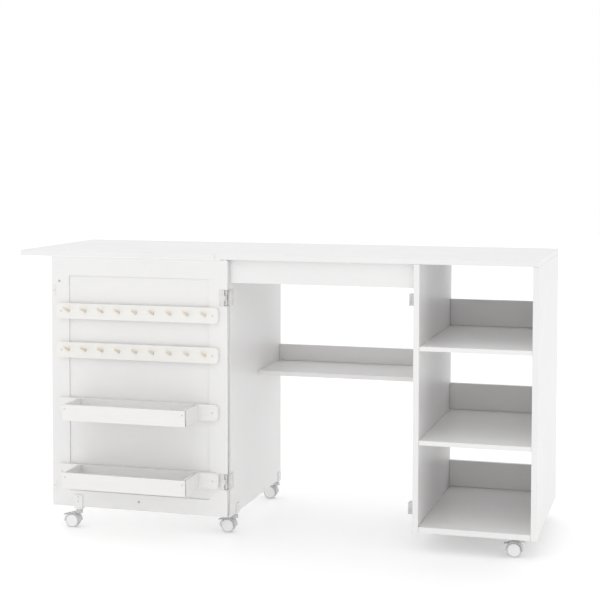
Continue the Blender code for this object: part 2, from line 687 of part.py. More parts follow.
def housing_mesh():
    """The swivelling head: hood over both wheels, side arms, web and the axle's bore."""
    centre = (-CASTER_TRAIL, WHEEL_RADIUS)
    web_outer = (HOOD_OUTER + HOOD_INNER) / 2
    hood_outline = ring_sector(HOOD_INNER, HOOD_OUTER, HOOD_START, HOOD_END)
    web_outline = ring_sector(AXLE_RADIUS, web_outer, HOOD_START + WEB_TRIM, HOOD_END - WEB_TRIM)
    arm_outline = ring_sector(HOOD_INNER, HOOD_OUTER, HOOD_END - WEB_TRIM, ARM_END)
    hood = prism_bmesh(hood_outline, -HOOD_HALF_WIDTH, HOOD_HALF_WIDTH, "Y")
    parts = [
        prism_bmesh(web_outline, -WEB_HALF, WEB_HALF, "Y"),
        prism_bmesh(arm_outline, ARM_INNER, HOOD_HALF_WIDTH - ARM_STEP, "Y"),
        prism_bmesh(arm_outline, ARM_STEP - HOOD_HALF_WIDTH, -ARM_INNER, "Y"),
        cylinder_bmesh(centre, HUB_RADIUS, -HUB_HALF, HUB_HALF, "Y"),
        cylinder_bmesh((0.0, 0.0), HEAD_RADIUS, HEAD_BOTTOM, HEAD_TOP, "Z"),
    ]
    name = "caster_housing"
    solid = combined(name, mesh_from(hood, name), [mesh_from(bm, name) for bm in parts])
    bore = cylinder_bmesh(centre, AXLE_BORE_RADIUS, -2 * WEB_HALF, 2 * WEB_HALF, "Y")
    return combined(name, solid, [mesh_from(bore, name)], "DIFFERENCE")


def wheels_mesh():
    """Twin wheels on one axle, turned about the axle's centre."""
    half = [
        (AXLE_RADIUS, WHEEL_INNER),
        (WHEEL_RADIUS - WHEEL_TREAD_ROUND, WHEEL_INNER),
        (WHEEL_RADIUS, WHEEL_INNER + WHEEL_TREAD_ROUND),
        (WHEEL_RADIUS, WHEEL_SIDE - WHEEL_TREAD_ROUND),
        (WHEEL_RADIUS - WHEEL_TREAD_ROUND, WHEEL_SIDE),
        (0.0, WHEEL_SIDE),
    ]
    mirrored = [(radius, -height) for radius, height in reversed(half)]
    bm = lathe_bmesh(mirrored + half, ROUND_SEGMENTS)
    bmesh.ops.transform(bm, matrix=Matrix.Rotation(math.pi / 2, 4, "X"), verts=bm.verts)
    return mesh_from(bm, "twin_wheels")


def brake_pivot():
    """The brake lever's axis in the caster's frame."""
    x = -CASTER_TRAIL + BRAKE_PIVOT_RADIUS * math.cos(BRAKE_PIVOT_ANGLE)
    z = WHEEL_RADIUS + BRAKE_PIVOT_RADIUS * math.sin(BRAKE_PIVOT_ANGLE)
    return Vector((x, 0.0, z))


def brake_mesh():
    """A barrel on the pivot with a tongue that points away from the swivel."""
    width = BRAKE_HALF_WIDTH
    half = BRAKE_THICKNESS / 2
    barrel = cylinder_bmesh((0.0, 0.0), BRAKE_BARREL, -width, width, "Y", SMALL_SEGMENTS)
    outline = [
        (0.0, -half),
        (0.0, half),
        (-BRAKE_LENGTH, half - BRAKE_DROP),
        (-BRAKE_LENGTH, -half - BRAKE_DROP),
    ]
    tongue = prism_bmesh(outline, -width, width, "Y")
    return combined("brake_lever", mesh_from(barrel, "barrel"), [mesh_from(tongue, "tongue")])


def make_casters(door):
    """Five braked twin-wheel casters, trailing to the left."""
    side_x = (SIDE_OUTER_X + SIDE_INNER_X) / 2
    cabinet_x = RIGHT - CABINET_CASTER_FROM_RIGHT
    front, back = FRONT + SIDE_CASTER_FRONT, FRONT + CASTER_BACK
    door_y = (DOOR_INNER_Y + DOOR_OUTER_Y) / 2 - DOOR_AXIS.y
    side_mesh = side_bracket_mesh(BOARD / 2, SIDE_TAB_HEIGHT)
    door_mesh = side_bracket_mesh(DOOR_THICKNESS / 2, DOOR_TAB_HEIGHT)
    flat_mesh = flat_bracket_mesh()
    housing, wheels, brake = housing_mesh(), wheels_mesh(), brake_mesh()
    places = (
        ("left_front", (side_x, front, 0.0), None, side_mesh, 0.0),
        ("left_back", (side_x, back, 0.0), None, side_mesh, 0.0),
        ("right_front", (cabinet_x, FRONT + CABINET_CASTER_FRONT, 0.0), None, flat_mesh, 0.0),
        ("right_back", (cabinet_x, back, 0.0), None, flat_mesh, 0.0),
        ("door", (-DOOR_CASTER_FROM_AXIS, door_y, 0.0), door, door_mesh, -math.pi / 2),
    )
    for label, place, carrier, bracket_mesh, turn in places:
        name = label + "_caster_"
        seat = joint_empty(name + "seat", place, carrier, turn)
        mesh_object(name + "bracket", bracket_mesh, "caster_steel", seat)
        swivel = joint_empty(name + "swivel", place, carrier)
        mesh_object(name + "housing", housing, "caster_grey", swivel)
        axle = joint_empty(name + "axle", (-CASTER_TRAIL, 0.0, WHEEL_RADIUS), swivel)
        mesh_object(name + "wheels", wheels, "wheel_grey", axle)
        pivot = joint_empty(name + "brake_axis", brake_pivot(), swivel)
        mesh_object(name + "brake_lever", brake, "caster_grey", pivot)


def shade_round_pieces():
    for node in bpy.data.objects:
        if node.type == "MESH":
            node.data.shade_smooth()
            node.data.set_sharp_from_angle(angle=SMOOTH_ANGLE)


def main():
    clear_scene()
    door = joint_empty("door_axis", DOOR_AXIS)
    leaf = joint_empty("leaf_axis", LEAF_AXIS)
    make_top_and_leaf(leaf)
    make_carcass()
    make_door_frame(door)
    make_knob(door)
    make_racks(door)
    make_bins(door)
    make_leaf_hinges(leaf)
    make_door_hinges(door)
    make_catches(door)
    make_casters(door)
    shade_round_pieces()


main()
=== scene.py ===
"""Looks of the folding sewing table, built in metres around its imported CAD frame.

The boards of the top, leaf and carcass and the door's panel keep their CAD meshes and get lacquer.
The door's frame, racks, bins, knob, hinges, catches and casters are replaced by detailed pieces,
which ride on the same bodies.
"""
import json
import math

import bmesh
import bpy
from mathutils import Matrix, Vector


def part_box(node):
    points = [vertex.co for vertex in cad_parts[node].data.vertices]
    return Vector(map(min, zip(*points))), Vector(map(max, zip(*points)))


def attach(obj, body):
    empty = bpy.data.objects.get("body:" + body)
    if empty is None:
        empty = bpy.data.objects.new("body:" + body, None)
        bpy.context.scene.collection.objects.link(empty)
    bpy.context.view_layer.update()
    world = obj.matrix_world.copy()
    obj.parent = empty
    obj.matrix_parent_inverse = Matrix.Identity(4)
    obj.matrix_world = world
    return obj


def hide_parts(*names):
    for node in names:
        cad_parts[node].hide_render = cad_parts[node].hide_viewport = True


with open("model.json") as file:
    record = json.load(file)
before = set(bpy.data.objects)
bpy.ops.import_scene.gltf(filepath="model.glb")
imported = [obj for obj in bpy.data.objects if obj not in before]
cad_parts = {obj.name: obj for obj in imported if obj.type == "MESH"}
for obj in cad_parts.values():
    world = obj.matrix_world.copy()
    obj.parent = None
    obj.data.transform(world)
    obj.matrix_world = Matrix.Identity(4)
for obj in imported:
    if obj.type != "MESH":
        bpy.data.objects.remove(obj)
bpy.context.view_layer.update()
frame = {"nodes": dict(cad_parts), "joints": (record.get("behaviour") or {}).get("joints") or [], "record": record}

JOINT_PLACE = {joint["name"]: Vector(joint["pos_m"]) for joint in frame["joints"]}

# Camera: a pinhole view, placed from the worktop's front right corner
CAMERA_FROM_CORNER = (0.3847, -3.6251)
CAMERA_HEIGHT = 1.0343
CAMERA_YAW = math.radians(16.114)
CAMERA_PITCH = math.radians(2.928)
CAMERA_ROLL = math.radians(0.082)
CAMERA_LENS = 86.86
CAMERA_SHIFT = (0.0277, -0.1247)
CAMERA_FAR = 100.0

# Studio
FLOOR_HALF = 14.0
SKY_STRENGTH = 1.0
KEY_PLACE = (-0.4, -3.2, 3.8)
KEY_TARGET = (0.0, 0.0, 0.4)
KEY_SIZE = (2.6, 2.6)
KEY_POWER = 10.0

# Rounding of edges and fineness of round forms
BOARD_ROUND = 0.0012
SHEET_ROUND = 0.0004
ROUND_STEPS = 64
SMALL_STEPS = 32
CORNER_STEPS = 6
EDGE_STEPS = 3
SHARP_ANGLE = math.radians(50)

# Gaps: between pieces that touch, and between a fitting and the board under it
CONTACT = 0.0001
FITTING_GAP = 0.0003

# Lengths and angles below these count as nothing
ON_AXIS = 1e-9
SAME_POINT = 1e-7
SAME_ANGLE = 1e-6


# ---------------------------------------------------------------- materials

# Base colours, the plating's metallic share and the floor's faint glow
WHITE = (0.827, 0.820, 0.818)
WARM_WHITE = (0.845, 0.835, 0.812)
BIN_WHITE = (0.820, 0.814, 0.806)
BIRCH_LIGHT = (0.84, 0.78, 0.69)
BIRCH_DARK = (0.72, 0.63, 0.51)
NICKEL = (0.75, 0.745, 0.73)
NICKEL_METALLIC = 0.35
SCREW_STEEL = (0.60, 0.59, 0.58)
POWDER_COAT = (0.835, 0.83, 0.825)
HOOD_GREY = (0.60, 0.60, 0.61)
WHEEL_WHITE = (0.88, 0.88, 0.88)
TREAD_GREY = (0.58, 0.58, 0.59)
CATCH_GREY = (0.68, 0.68, 0.68)
KNOB_WHITE = (0.72, 0.72, 0.71)
FLOOR_WHITE = (0.98, 0.98, 0.98)
FLOOR_GLOW = 0.12


def new_material(name, colour, roughness, metallic=0.0, coat=0.0, coat_roughness=0.2):
    """A Principled material with its uniform values on the shader's own sockets."""
    material = bpy.data.materials.new(name)
    material.use_nodes = True
    shader = material.node_tree.nodes["Principled BSDF"]
    shader.inputs["Base Color"].default_value = (*colour, 1.0)
    shader.inputs["Roughness"].default_value = roughness
    shader.inputs["Metallic"].default_value = metallic
    shader.inputs["Coat Weight"].default_value = coat
    shader.inputs["Coat Roughness"].default_value = coat_roughness
    return material


def darker(colour, share):
    return [part * share for part in colour]


def object_space(material, stretch=(1.0, 1.0, 1.0)):
    """Object coordinates, scaled by stretch on each axis."""
    tree = material.node_tree
    place = tree.nodes.new("ShaderNodeTexCoord")
    mapping = tree.nodes.new("ShaderNodeMapping")
    mapping.inputs["Scale"].default_value = stretch
    tree.links.new(place.outputs["Object"], mapping.inputs["Vector"])
    return mapping.outputs["Vector"]


def noise(material, vector, scale, detail=3.0):
    node = material.node_tree.nodes.new("ShaderNodeTexNoise")
    node.inputs["Scale"].default_value = scale
    node.inputs["Detail"].default_value = detail
    material.node_tree.links.new(vector, node.inputs["Vector"])
    return node.outputs["Fac"]


def colour_between(material, factor, first, second, start=0.3, end=0.7):
    """Drives the base colour from first to second as the factor runs from start to end."""
    tree = material.node_tree
    ramp = tree.nodes.new("ShaderNodeValToRGB")
    ramp.color_ramp.elements[0].position = start
    ramp.color_ramp.elements[0].color = (*first, 1.0)
    ramp.color_ramp.elements[1].position = end
    ramp.color_ramp.elements[1].color = (*second, 1.0)
    tree.links.new(factor, ramp.inputs["Fac"])
    tree.links.new(ramp.outputs["Color"], tree.nodes["Principled BSDF"].inputs["Base Color"])


def roughness_between(material, factor, low, high):
    tree = material.node_tree
    spread = tree.nodes.new("ShaderNodeMapRange")
    spread.inputs["To Min"].default_value = low
    spread.inputs["To Max"].default_value = high
    tree.links.new(factor, spread.inputs["Value"])
    tree.links.new(spread.outputs["Result"], tree.nodes["Principled BSDF"].inputs["Roughness"])


def relief(material, factor, height, strength):
    """Adds one layer of bump, in metres, over the layers that are there already."""
    tree = material.node_tree
    normal = tree.nodes["Principled BSDF"].inputs["Normal"]
    bump = tree.nodes.new("ShaderNodeBump")
    bump.inputs["Distance"].default_value = height
    bump.inputs["Strength"].default_value = strength
    tree.links.new(factor, bump.inputs["Height"])
    if normal.links:
        tree.links.new(normal.links[0].from_socket, bump.inputs["Normal"])
    tree.links.new(bump.outputs["Normal"], normal)


def lacquer_material():
    """Sprayed satin lacquer on MDF: faint cloudiness, orange peel and uneven gloss."""
    material = new_material("satin_white_lacquer", WHITE, roughness=0.42, coat=0.12, coat_roughness=0.28)
    space = object_space(material)
    clouds = noise(material, space, scale=5.0)
    colour_between(material, clouds, WHITE, darker(WHITE, 0.975))
    roughness_between(material, noise(material, space, scale=26.0), low=0.36, high=0.48)
    relief(material, noise(material, space, scale=420.0, detail=1.0), height=0.00006, strength=0.35)
    relief(material, noise(material, space, scale=2600.0), height=0.00001, strength=0.5)
    return material


def painted_wood_material(name, colour):
    """Paint over solid wood, whose grain runs along X and shows through a little."""
    material = new_material(name, colour, roughness=0.45, coat=0.08, coat_roughness=0.3)
    grain_space = object_space(material, (6.0, 90.0, 90.0))
    grain = noise(material, grain_space, scale=3.0, detail=5.0)
    colour_between(material, grain, colour, darker(colour, 0.975))
    roughness_between(material, noise(material, object_space(material), scale=40.0), low=0.38, high=0.52)
    relief(material, grain, height=0.00008, strength=0.5)
    relief(material, noise(material, object_space(material), scale=700.0), height=0.00003, strength=0.3)
    return material


def peg_material():
    """Bare turned birch: long grain with short darker flecks."""
    material = new_material("bare_birch", BIRCH_LIGHT, roughness=0.55)
    grain = noise(material, object_space(material, (420.0, 420.0, 26.0)), scale=1.0, detail=6.0)
    colour_between(material, grain, BIRCH_LIGHT, BIRCH_DARK, start=0.38, end=0.66)
    flecks = noise(material, object_space(material, (900.0, 900.0, 140.0)), scale=1.0)
    roughness_between(material, flecks, low=0.45, high=0.65)
    relief(material, grain, height=0.0001, strength=0.5)
    return material


def nickel_material():
    """Stamped steel under matt nickel plating, with fine scratches along Z and faint clouds."""
    material = new_material("nickel_plate", NICKEL, roughness=0.42, metallic=NICKEL_METALLIC)
    clouds = noise(material, object_space(material), scale=70.0)
    colour_between(material, clouds, NICKEL, darker(NICKEL, 0.88))
    scratches = noise(material, object_space(material, (2400.0, 2400.0, 60.0)), scale=1.0)
    roughness_between(material, scratches, low=0.36, high=0.52)
    relief(material, scratches, height=0.00002, strength=0.3)
    return material


def screw_material():
    """Zinc-plated screw steel, a little darker and rougher than the hinges."""
    material = new_material("screw_steel", SCREW_STEEL, roughness=0.38, metallic=1.0)
    clouds = noise(material, object_space(material), scale=500.0)
    colour_between(material, clouds, SCREW_STEEL, darker(SCREW_STEEL, 0.75))
    roughness_between(material, clouds, low=0.28, high=0.48)
    relief(material, noise(material, object_space(material), scale=3000.0), height=0.00002, strength=0.4)
    return material


def plastic_material(name, colour, roughness, grain_scale=1800.0, shade=0.94):
    """Moulded plastic with a fine eroded texture and slight flow marks."""
    material = new_material(name, colour, roughness)
    flow = noise(material, object_space(material), scale=60.0)
    colour_between(material, flow, colour, darker(colour, shade))
    texture = noise(material, object_space(material), scale=grain_scale, detail=2.0)
    roughness_between(material, texture, low=roughness - 0.06, high=roughness + 0.08)
    relief(material, texture, height=0.00003, strength=0.5)
    return material


def powder_coat_material():
    """Light powder coat on pressed steel, with its pebbled skin."""
    material = new_material("light_powder_coat", POWDER_COAT, roughness=0.40, coat=0.1)
    clouds = noise(material, object_space(material), scale=45.0)
    colour_between(material, clouds, POWDER_COAT, darker(POWDER_COAT, 0.96))
    pebbles = noise(material, object_space(material), scale=1100.0, detail=1.0)
    roughness_between(material, pebbles, low=0.34, high=0.5)
    relief(material, pebbles, height=0.00005, strength=0.5)
    return material


def floor_material():
    """A plain pale studio floor, very slightly cloudy."""
    material = new_material("pale_floor", FLOOR_WHITE, roughness=0.75)
    clouds = noise(material, object_space(material), scale=0.8)
    colour_between(material, clouds, FLOOR_WHITE, darker(FLOOR_WHITE, 0.995))
    shader = material.node_tree.nodes["Principled BSDF"]
    shader.inputs["Emission Color"].default_value = (1.0, 1.0, 1.0, 1.0)
    shader.inputs["Emission Strength"].default_value = FLOOR_GLOW
    return material


LACQUER = lacquer_material()
RACK_PAINT = painted_wood_material("warm_white_paint", WARM_WHITE)
BIN_PAINT = painted_wood_material("bin_white_paint", BIN_WHITE)
BIRCH = peg_material()
NICKEL_PLATE = nickel_material()
SCREW = screw_material()
COATED_STEEL = powder_coat_material()
HOOD_PLASTIC = plastic_material("hood_nylon", HOOD_GREY, roughness=0.42)
WHEEL_PLASTIC = plastic_material("wheel_nylon", WHEEL_WHITE, roughness=0.34, shade=0.97)
TREAD_RUBBER = plastic_material("tread_rubber", TREAD_GREY, roughness=0.6, grain_scale=900.0)
CATCH_PLASTIC = plastic_material("catch_plastic", CATCH_GREY, roughness=0.4)
KNOB_FINISH = plastic_material("knob_lacquer", KNOB_WHITE, roughness=0.26, shade=0.97)


# ---------------------------------------------------------------- mesh tools


def box_mesh(corner, other, rounding=0.0, segments=EDGE_STEPS):
    """A box between two opposite corners, with its edges rounded."""
    bm = bmesh.new()
    bmesh.ops.create_cube(bm, size=1.0)
    size = Vector([abs(b - a) for a, b in zip(corner, other)])
    middle = (Vector(corner) + Vector(other)) / 2
    placed = Matrix.Translation(middle) @ Matrix.Diagonal((*size, 1.0))
    bmesh.ops.transform(bm, matrix=placed, verts=bm.verts)
    round_sharp_edges(bm, rounding, segments)
    return bm


def round_sharp_edges(bm, rounding, segments=EDGE_STEPS):
    """Rounds the edges that turn by more than the sharp angle."""
    if rounding <= 0.0:
        return
    bmesh.ops.recalc_face_normals(bm, faces=bm.faces)
    closed = [edge for edge in bm.edges if len(edge.link_faces) == 2]
    sharp = [edge for edge in closed if edge.calc_face_angle() > SHARP_ANGLE]
    shape = {"segments": segments, "profile": 0.5, "clamp_overlap": True}
    bmesh.ops.bevel(bm, geom=sharp, offset=rounding, **shape)


def arc(centre, radius, start, end, steps):
    """Points from one angle to another, both included."""
    points = []
    for step in range(steps + 1):
        angle = start + (end - start) * step / steps
        points.append((centre[0] + radius * math.cos(angle), centre[1] + radius * math.sin(angle)))
    return points


def rounded_rectangle(low, high, radius):
    """A rectangle's outline with round corners."""
    corners = (
        (high[0] - radius, high[1] - radius),
        (low[0] + radius, high[1] - radius),
        (low[0] + radius, low[1] + radius),
        (high[0] - radius, low[1] + radius),
    )
    outline = []
    for quarter, corner in enumerate(corners):
        start = quarter * math.pi / 2
        outline += arc(corner, radius, start, start + math.pi / 2, CORNER_STEPS)
    return outline


def prism_mesh(outline, start, end, axis, rounding=0.0):
    """An outline extruded along an axis. Its points hold the other two coordinates, in order."""
    bm = bmesh.new()
    index = "XYZ".index(axis)
    rings = []
    for along in (start, end):
        places = [list(point) for point in outline]
        for place in places:
            place.insert(index, along)
        rings.append([bm.verts.new(place) for place in places])
    bm.faces.new(rings[0])
    bm.faces.new(rings[1])
    count = len(outline)
    for number in range(count):
        following = (number + 1) % count
        bm.faces.new((rings[0][number], rings[0][following], rings[1][following], rings[1][number]))
    round_sharp_edges(bm, rounding)
    return bm


def revolved_mesh(loop, start=0.0, end=2 * math.pi, steps=ROUND_STEPS):
    """A closed loop of (radius, height) points turned about Z. A part turn gets flat ends."""
    bm = bmesh.new()
    whole = abs(end - start - 2 * math.pi) < SAME_ANGLE
    rings = []
    for step in range(steps if whole else steps + 1):
        angle = start + (end - start) * step / steps
        ring = [bm.verts.new((r * math.cos(angle), r * math.sin(angle), z)) for r, z in loop]
        rings.append(ring)
    pairs = list(zip(rings, rings[1:]))
    if whole:
        pairs.append((rings[-1], rings[0]))
    else:
        bm.faces.new(rings[0])
        bm.faces.new(rings[-1])
    count = len(loop)
    for ring, following in pairs:
        for number in range(count):
            beside = (number + 1) % count
            if loop[number][0] < ON_AXIS and loop[beside][0] < ON_AXIS:
                continue
            bm.faces.new((ring[number], ring[beside], following[beside], following[number]))
    bmesh.ops.remove_doubles(bm, verts=bm.verts, dist=SAME_POINT)
    return bm


def merged(first, *others):
    """Adds the other bmeshes' bodies to the first."""
    for other in others:
        carrier = bpy.data.meshes.new("carrier")
        other.to_mesh(carrier)
        other.free()
        first.from_mesh(carrier)
        bpy.data.meshes.remove(carrier)
    return first


def moved(bm, matrix):
    bmesh.ops.transform(bm, matrix=matrix, verts=bm.verts)
    return bm


def cut(bm, *tools):
    """Cuts closed tools out of a closed bmesh with Boolean modifiers."""
    holders = []
    for part in (bm, *tools):
        bmesh.ops.recalc_face_normals(part, faces=part.faces)
        mesh = bpy.data.meshes.new("cut")
        part.to_mesh(mesh)
        part.free()
        holder = bpy.data.objects.new("cut", mesh)
        bpy.context.scene.collection.objects.link(holder)
        holders.append(holder)
    body = holders[0]
    for tool in holders[1:]:
        modifier = body.modifiers.new("cut", "BOOLEAN")
        modifier.operation = "DIFFERENCE"
        modifier.solver = "EXACT"
        modifier.object = tool
    graph = bpy.context.evaluated_depsgraph_get()
    result = bmesh.new()
    result.from_object(body, graph)
    for holder in holders:
        used = holder.data
        bpy.data.objects.remove(holder)
        bpy.data.meshes.remove(used)
    return result


def finished_mesh(bm, name, material):
    """Closes a bmesh into a smooth-shaded mesh with one material."""
    bmesh.ops.recalc_face_normals(bm, faces=bm.faces)
    mesh = bpy.data.meshes.new(name)
    bm.to_mesh(mesh)
    bm.free()
    mesh.materials.append(material)
    mesh.shade_smooth()
    mesh.set_sharp_from_angle(angle=SHARP_ANGLE)
    return mesh


def piece(name, mesh, body, matrix=None, replaces=()):
    """Places a piece, lets it ride on its body, and hides the CAD nodes that it stands for."""
    made = bpy.data.objects.new(name, mesh)
    bpy.context.scene.collection.objects.link(made)
    if matrix:
        made.matrix_world = matrix
    weigh = made.modifiers.new("even_shading", "WEIGHTED_NORMAL")
    weigh.keep_sharp = True
    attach(made, body)
    if replaces:
        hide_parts(*replaces)
    return made


def facing(place, direction):
    """A matrix that carries local +Z to a direction at a place."""
    turn = Vector(direction).to_track_quat("Z", "Y").to_matrix().to_4x4()
    return Matrix.Translation(place) @ turn


# ---------------------------------------------------------------- screws

# Pan heads stand on the surface. Feet and domes are in shares of a head's radius and height.
PAN_RADIUS = 0.0034
PAN_HEIGHT = 0.0017
PAN_FOOT = ((0.0, 0.0), (0.94, 0.0), (1.0, 0.15))
PAN_DOME_DEGREES = (15, 30, 45, 60, 75)
SMALL_HEAD_SHARE = 0.75

# Flat heads are countersunk, and only their low domes stand proud
FLAT_RADIUS = 0.0030
FLAT_HEIGHT = 0.0003
FLAT_DEPTH = 0.0016
FLAT_FOOT = 0.6
FLAT_DOME = ((0.9, 0.7), (0.5, 1.0), (0.0, 1.0))
FLAT_CROSS = 0.9

# The cross recess
CROSS_LENGTH = 0.0036
CROSS_WIDTH = 0.0008
CROSS_DEPTH = 0.0010

TURN_PER_SCREW = math.radians(37)


def cross_recess(top, length):
    """Two crossing slots that cut down from a screw's top."""
    slots = []
    for across, along in ((length, CROSS_WIDTH), (CROSS_WIDTH, length)):
        low = (-across / 2, -along / 2, top - CROSS_DEPTH)
        high = (across / 2, along / 2, top + CROSS_DEPTH)
        slots.append(box_mesh(low, high))
    return slots


def pan_head_mesh():
    """A domed screw head that stands on the surface, with a cross recess."""
    loop = [(PAN_RADIUS * across, PAN_HEIGHT * up) for across, up in PAN_FOOT]
    for degrees in PAN_DOME_DEGREES:
        angle = math.radians(degrees)
        loop.append((PAN_RADIUS * math.cos(angle), PAN_HEIGHT * math.sin(angle)))
    loop.append((0.0, PAN_HEIGHT))
    head = revolved_mesh(loop, steps=SMALL_STEPS)
    return finished_mesh(cut(head, *cross_recess(PAN_HEIGHT, CROSS_LENGTH)), "pan_head_screw", SCREW)


def flat_head_mesh():
    """A countersunk screw's head, whose slightly domed face lies at the surface."""
    loop = [(0.0, -FLAT_DEPTH), (FLAT_RADIUS * FLAT_FOOT, -FLAT_DEPTH), (FLAT_RADIUS, 0.0)]
    loop += [(FLAT_RADIUS * across, FLAT_HEIGHT * up) for across, up in FLAT_DOME]
    slots = cross_recess(FLAT_HEIGHT, CROSS_LENGTH * FLAT_CROSS)
    head = cut(revolved_mesh(loop, steps=SMALL_STEPS), *slots)
    return finished_mesh(head, "flat_head_screw", NICKEL_PLATE)


PAN_HEAD = pan_head_mesh()
SMALL_HEAD = PAN_HEAD.copy()
SMALL_HEAD.transform(Matrix.Scale(SMALL_HEAD_SHARE, 4))
SMALL_HEAD.materials[0] = NICKEL_PLATE
FLAT_HEAD = flat_head_mesh()


def add_screws(name, places, direction, body, mesh=PAN_HEAD):
    """A numbered screw at each place, each turned by its own angle."""
    for number, place in enumerate(places, 1):
        turn = Matrix.Rotation(TURN_PER_SCREW * number, 4, "Z")
        matrix = facing(place, direction) @ turn
        piece(f"{name}_screw_{number}", mesh, body, matrix)


# ---------------------------------------------------------------- boards


def finish_cad_nodes():
    """Gives every CAD node the material of its slot. The boards among them stay visible."""
    slots = {row["node"]: row["material_slot"] for row in frame["record"]["subparts"]}
    by_slot = {
        "white_board": LACQUER,
        "warm_white_board": RACK_PAINT,
        "hinge_steel": NICKEL_PLATE,
        "catch_plastic": CATCH_PLASTIC,
        "knob_white": KNOB_FINISH,
        "caster_steel": COATED_STEEL,
        "caster_grey": HOOD_PLASTIC,
        "wheel_grey": WHEEL_PLASTIC,
    }
    for node, thing in frame["nodes"].items():
        for material_slot in thing.material_slots:
            material_slot.material = by_slot[slots[node]]


# ---------------------------------------------------------------- racks and bins

# Spool racks: round-ended rails with nine pegs
RACK_CORNER = 0.010
END_SCREW_INSET = 0.015
PEGS = 9
PEG_SPACING = 0.0491
PEG_RADIUS = 0.0038
PEG_LENGTH = 0.041
PEG_TILT = math.radians(21)
PEG_ROOT_HEIGHT = 0.019
PEG_HOLE = 0.0040
PEG_SEAT = 0.006
PEG_FOOT_ROUND = 0.0003
PEG_TIP_ROUND = ((0.0, 0.0024), (0.0003, 0.0013), (0.0010, 0.0005), (0.0020, 0.0001))

# Bins: trays of thin boards
BIN_WALL = 0.009
BIN_FLOOR = 0.006
BIN_ROUND = 0.00084
BIN_SCREW_INSET = 0.008
BIN_SCREW_DROP = 0.011


def peg_mesh():
    """A turned peg with a domed tip, along local Z from its seat in the rail."""
    loop = [(0.0, 0.0), (PEG_RADIUS - PEG_FOOT_ROUND, 0.0), (PEG_RADIUS, PEG_FOOT_ROUND)]
    loop += [(PEG_RADIUS - inwards, PEG_LENGTH - back) for inwards, back in PEG_TIP_ROUND]
    loop.append((0.0, PEG_LENGTH))
    return finished_mesh(revolved_mesh(loop, steps=SMALL_STEPS), "birch_peg", BIRCH)


def rail_mesh(low, high):
    outline = rounded_rectangle((low.x, low.z), (high.x, high.z), RACK_CORNER)
    return prism_mesh(outline, low.y, high.y, "Y", BOARD_ROUND)


def end_screw_places(low, high):
    middle = (low.z + high.z) / 2
    return [(x, low.y, middle) for x in (low.x + END_SCREW_INSET, high.x - END_SCREW_INSET)]


def make_spool_rack(node, peg):
    """A drilled rail with nine pegs that rise towards their tips.

    The node's box ends at the pegs' tips, so the rail's front comes from the bin rail's box.
    """
    low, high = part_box(node)
    rail_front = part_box(node.replace("spool_rack", "bin_rail"))[0].y
    low = Vector((low.x, rail_front, low.z))
    out = Vector((0.0, -math.cos(PEG_TILT), math.sin(PEG_TILT)))
    first = (low.x + high.x) / 2 - PEG_SPACING * (PEGS - 1) / 2
    root_height = low.z + PEG_ROOT_HEIGHT + PEG_SEAT * math.tan(PEG_TILT)
    bore = [(0.0, 0.0), (PEG_HOLE, 0.0), (PEG_HOLE, 3 * PEG_SEAT), (0.0, 3 * PEG_SEAT)]
    seats = []
    holes = []
    for number in range(PEGS):
        face = Vector((first + number * PEG_SPACING, low.y, root_height))
        seats.append(facing(face - out * PEG_SEAT, out))
        hole = revolved_mesh(bore, steps=SMALL_STEPS)
        holes.append(moved(hole, facing(face - out * (PEG_SEAT + CONTACT), out)))
    mesh = finished_mesh(cut(rail_mesh(low, high), *holes), node + "_rail", RACK_PAINT)
    piece(node + "_rail", mesh, "door", replaces=[node])
    for number, seat in enumerate(seats, 1):
        piece(f"{node}_peg_{number}", peg, "door", seat)
    add_screws(node, end_screw_places(low, high), (0, -1, 0), "door", SMALL_HEAD)


def make_bin(level):
    """A back rail, and a tray of four thin boards screwed together."""
    rail = level + "_bin_rail"
    low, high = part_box(rail)
    mesh = finished_mesh(rail_mesh(low, high), rail, BIN_PAINT)
    piece(rail + "_board", mesh, "door", replaces=[rail])
    add_screws(rail, end_screw_places(low, high), (0, -1, 0), "door", SMALL_HEAD)

    tray = level + "_bin_tray"
    low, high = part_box(tray)
    wall_back = low.y + BIN_WALL
    left, right = low.x + BIN_WALL, high.x - BIN_WALL
    behind = wall_back + CONTACT
    floor_high = (right - CONTACT, high.y, low.z + BIN_FLOOR)
    boards = {
        "front": (low, (high.x, wall_back, high.z)),
        "left_end": ((low.x, behind, low.z), (left, high.y, high.z)),
        "right_end": ((right, behind, low.z), (high.x, high.y, high.z)),
        "floor": ((left + CONTACT, behind, low.z), floor_high),
    }
    for part, corners in boards.items():
        name = f"{tray}_{part}"
        mesh = finished_mesh(box_mesh(*corners, rounding=BIN_ROUND), name, BIN_PAINT)
        piece(name, mesh, "door", replaces=[tray])
    level_z = high.z - BIN_SCREW_DROP
    places = [(x, low.y, level_z) for x in (low.x + BIN_SCREW_INSET, high.x - BIN_SCREW_INSET)]
    add_screws(tray, places, (0, -1, 0), "door", SMALL_HEAD)


def make_racks_and_bins():
    peg = peg_mesh()
    for level in ("lower", "upper"):
        make_spool_rack(level + "_spool_rack", peg)
        make_bin(level)


# ---------------------------------------------------------------- door

DOOR_TOP_SLOPE = 0.52
DOOR_TOP_CHAMFER = 0.0010
DOOR_ROUND = 0.0010
NOTCH_REACH = 0.0034
NOTCH_CLEARANCE = 0.0005
RAIL_SCREW_HEIGHT = 0.024

# The knob's profile in shares of its radius and length: foot, then the neck's curve, then the cap
KNOB_FOOT = ((0.0, 0.0), (0.60, 0.0), (0.62, 0.04), (0.56, 0.10))
KNOB_NECK_START = (0.48, 0.16)
KNOB_NECK_END = (0.96, 0.64)
KNOB_NECK_POWER = 2.2
KNOB_NECK_STEPS = 6
KNOB_CAP = ((1.0, 0.74), (0.97, 0.83), (0.84, 0.93), (0.62, 0.98), (0.30, 0.997), (0.0, 1.0))


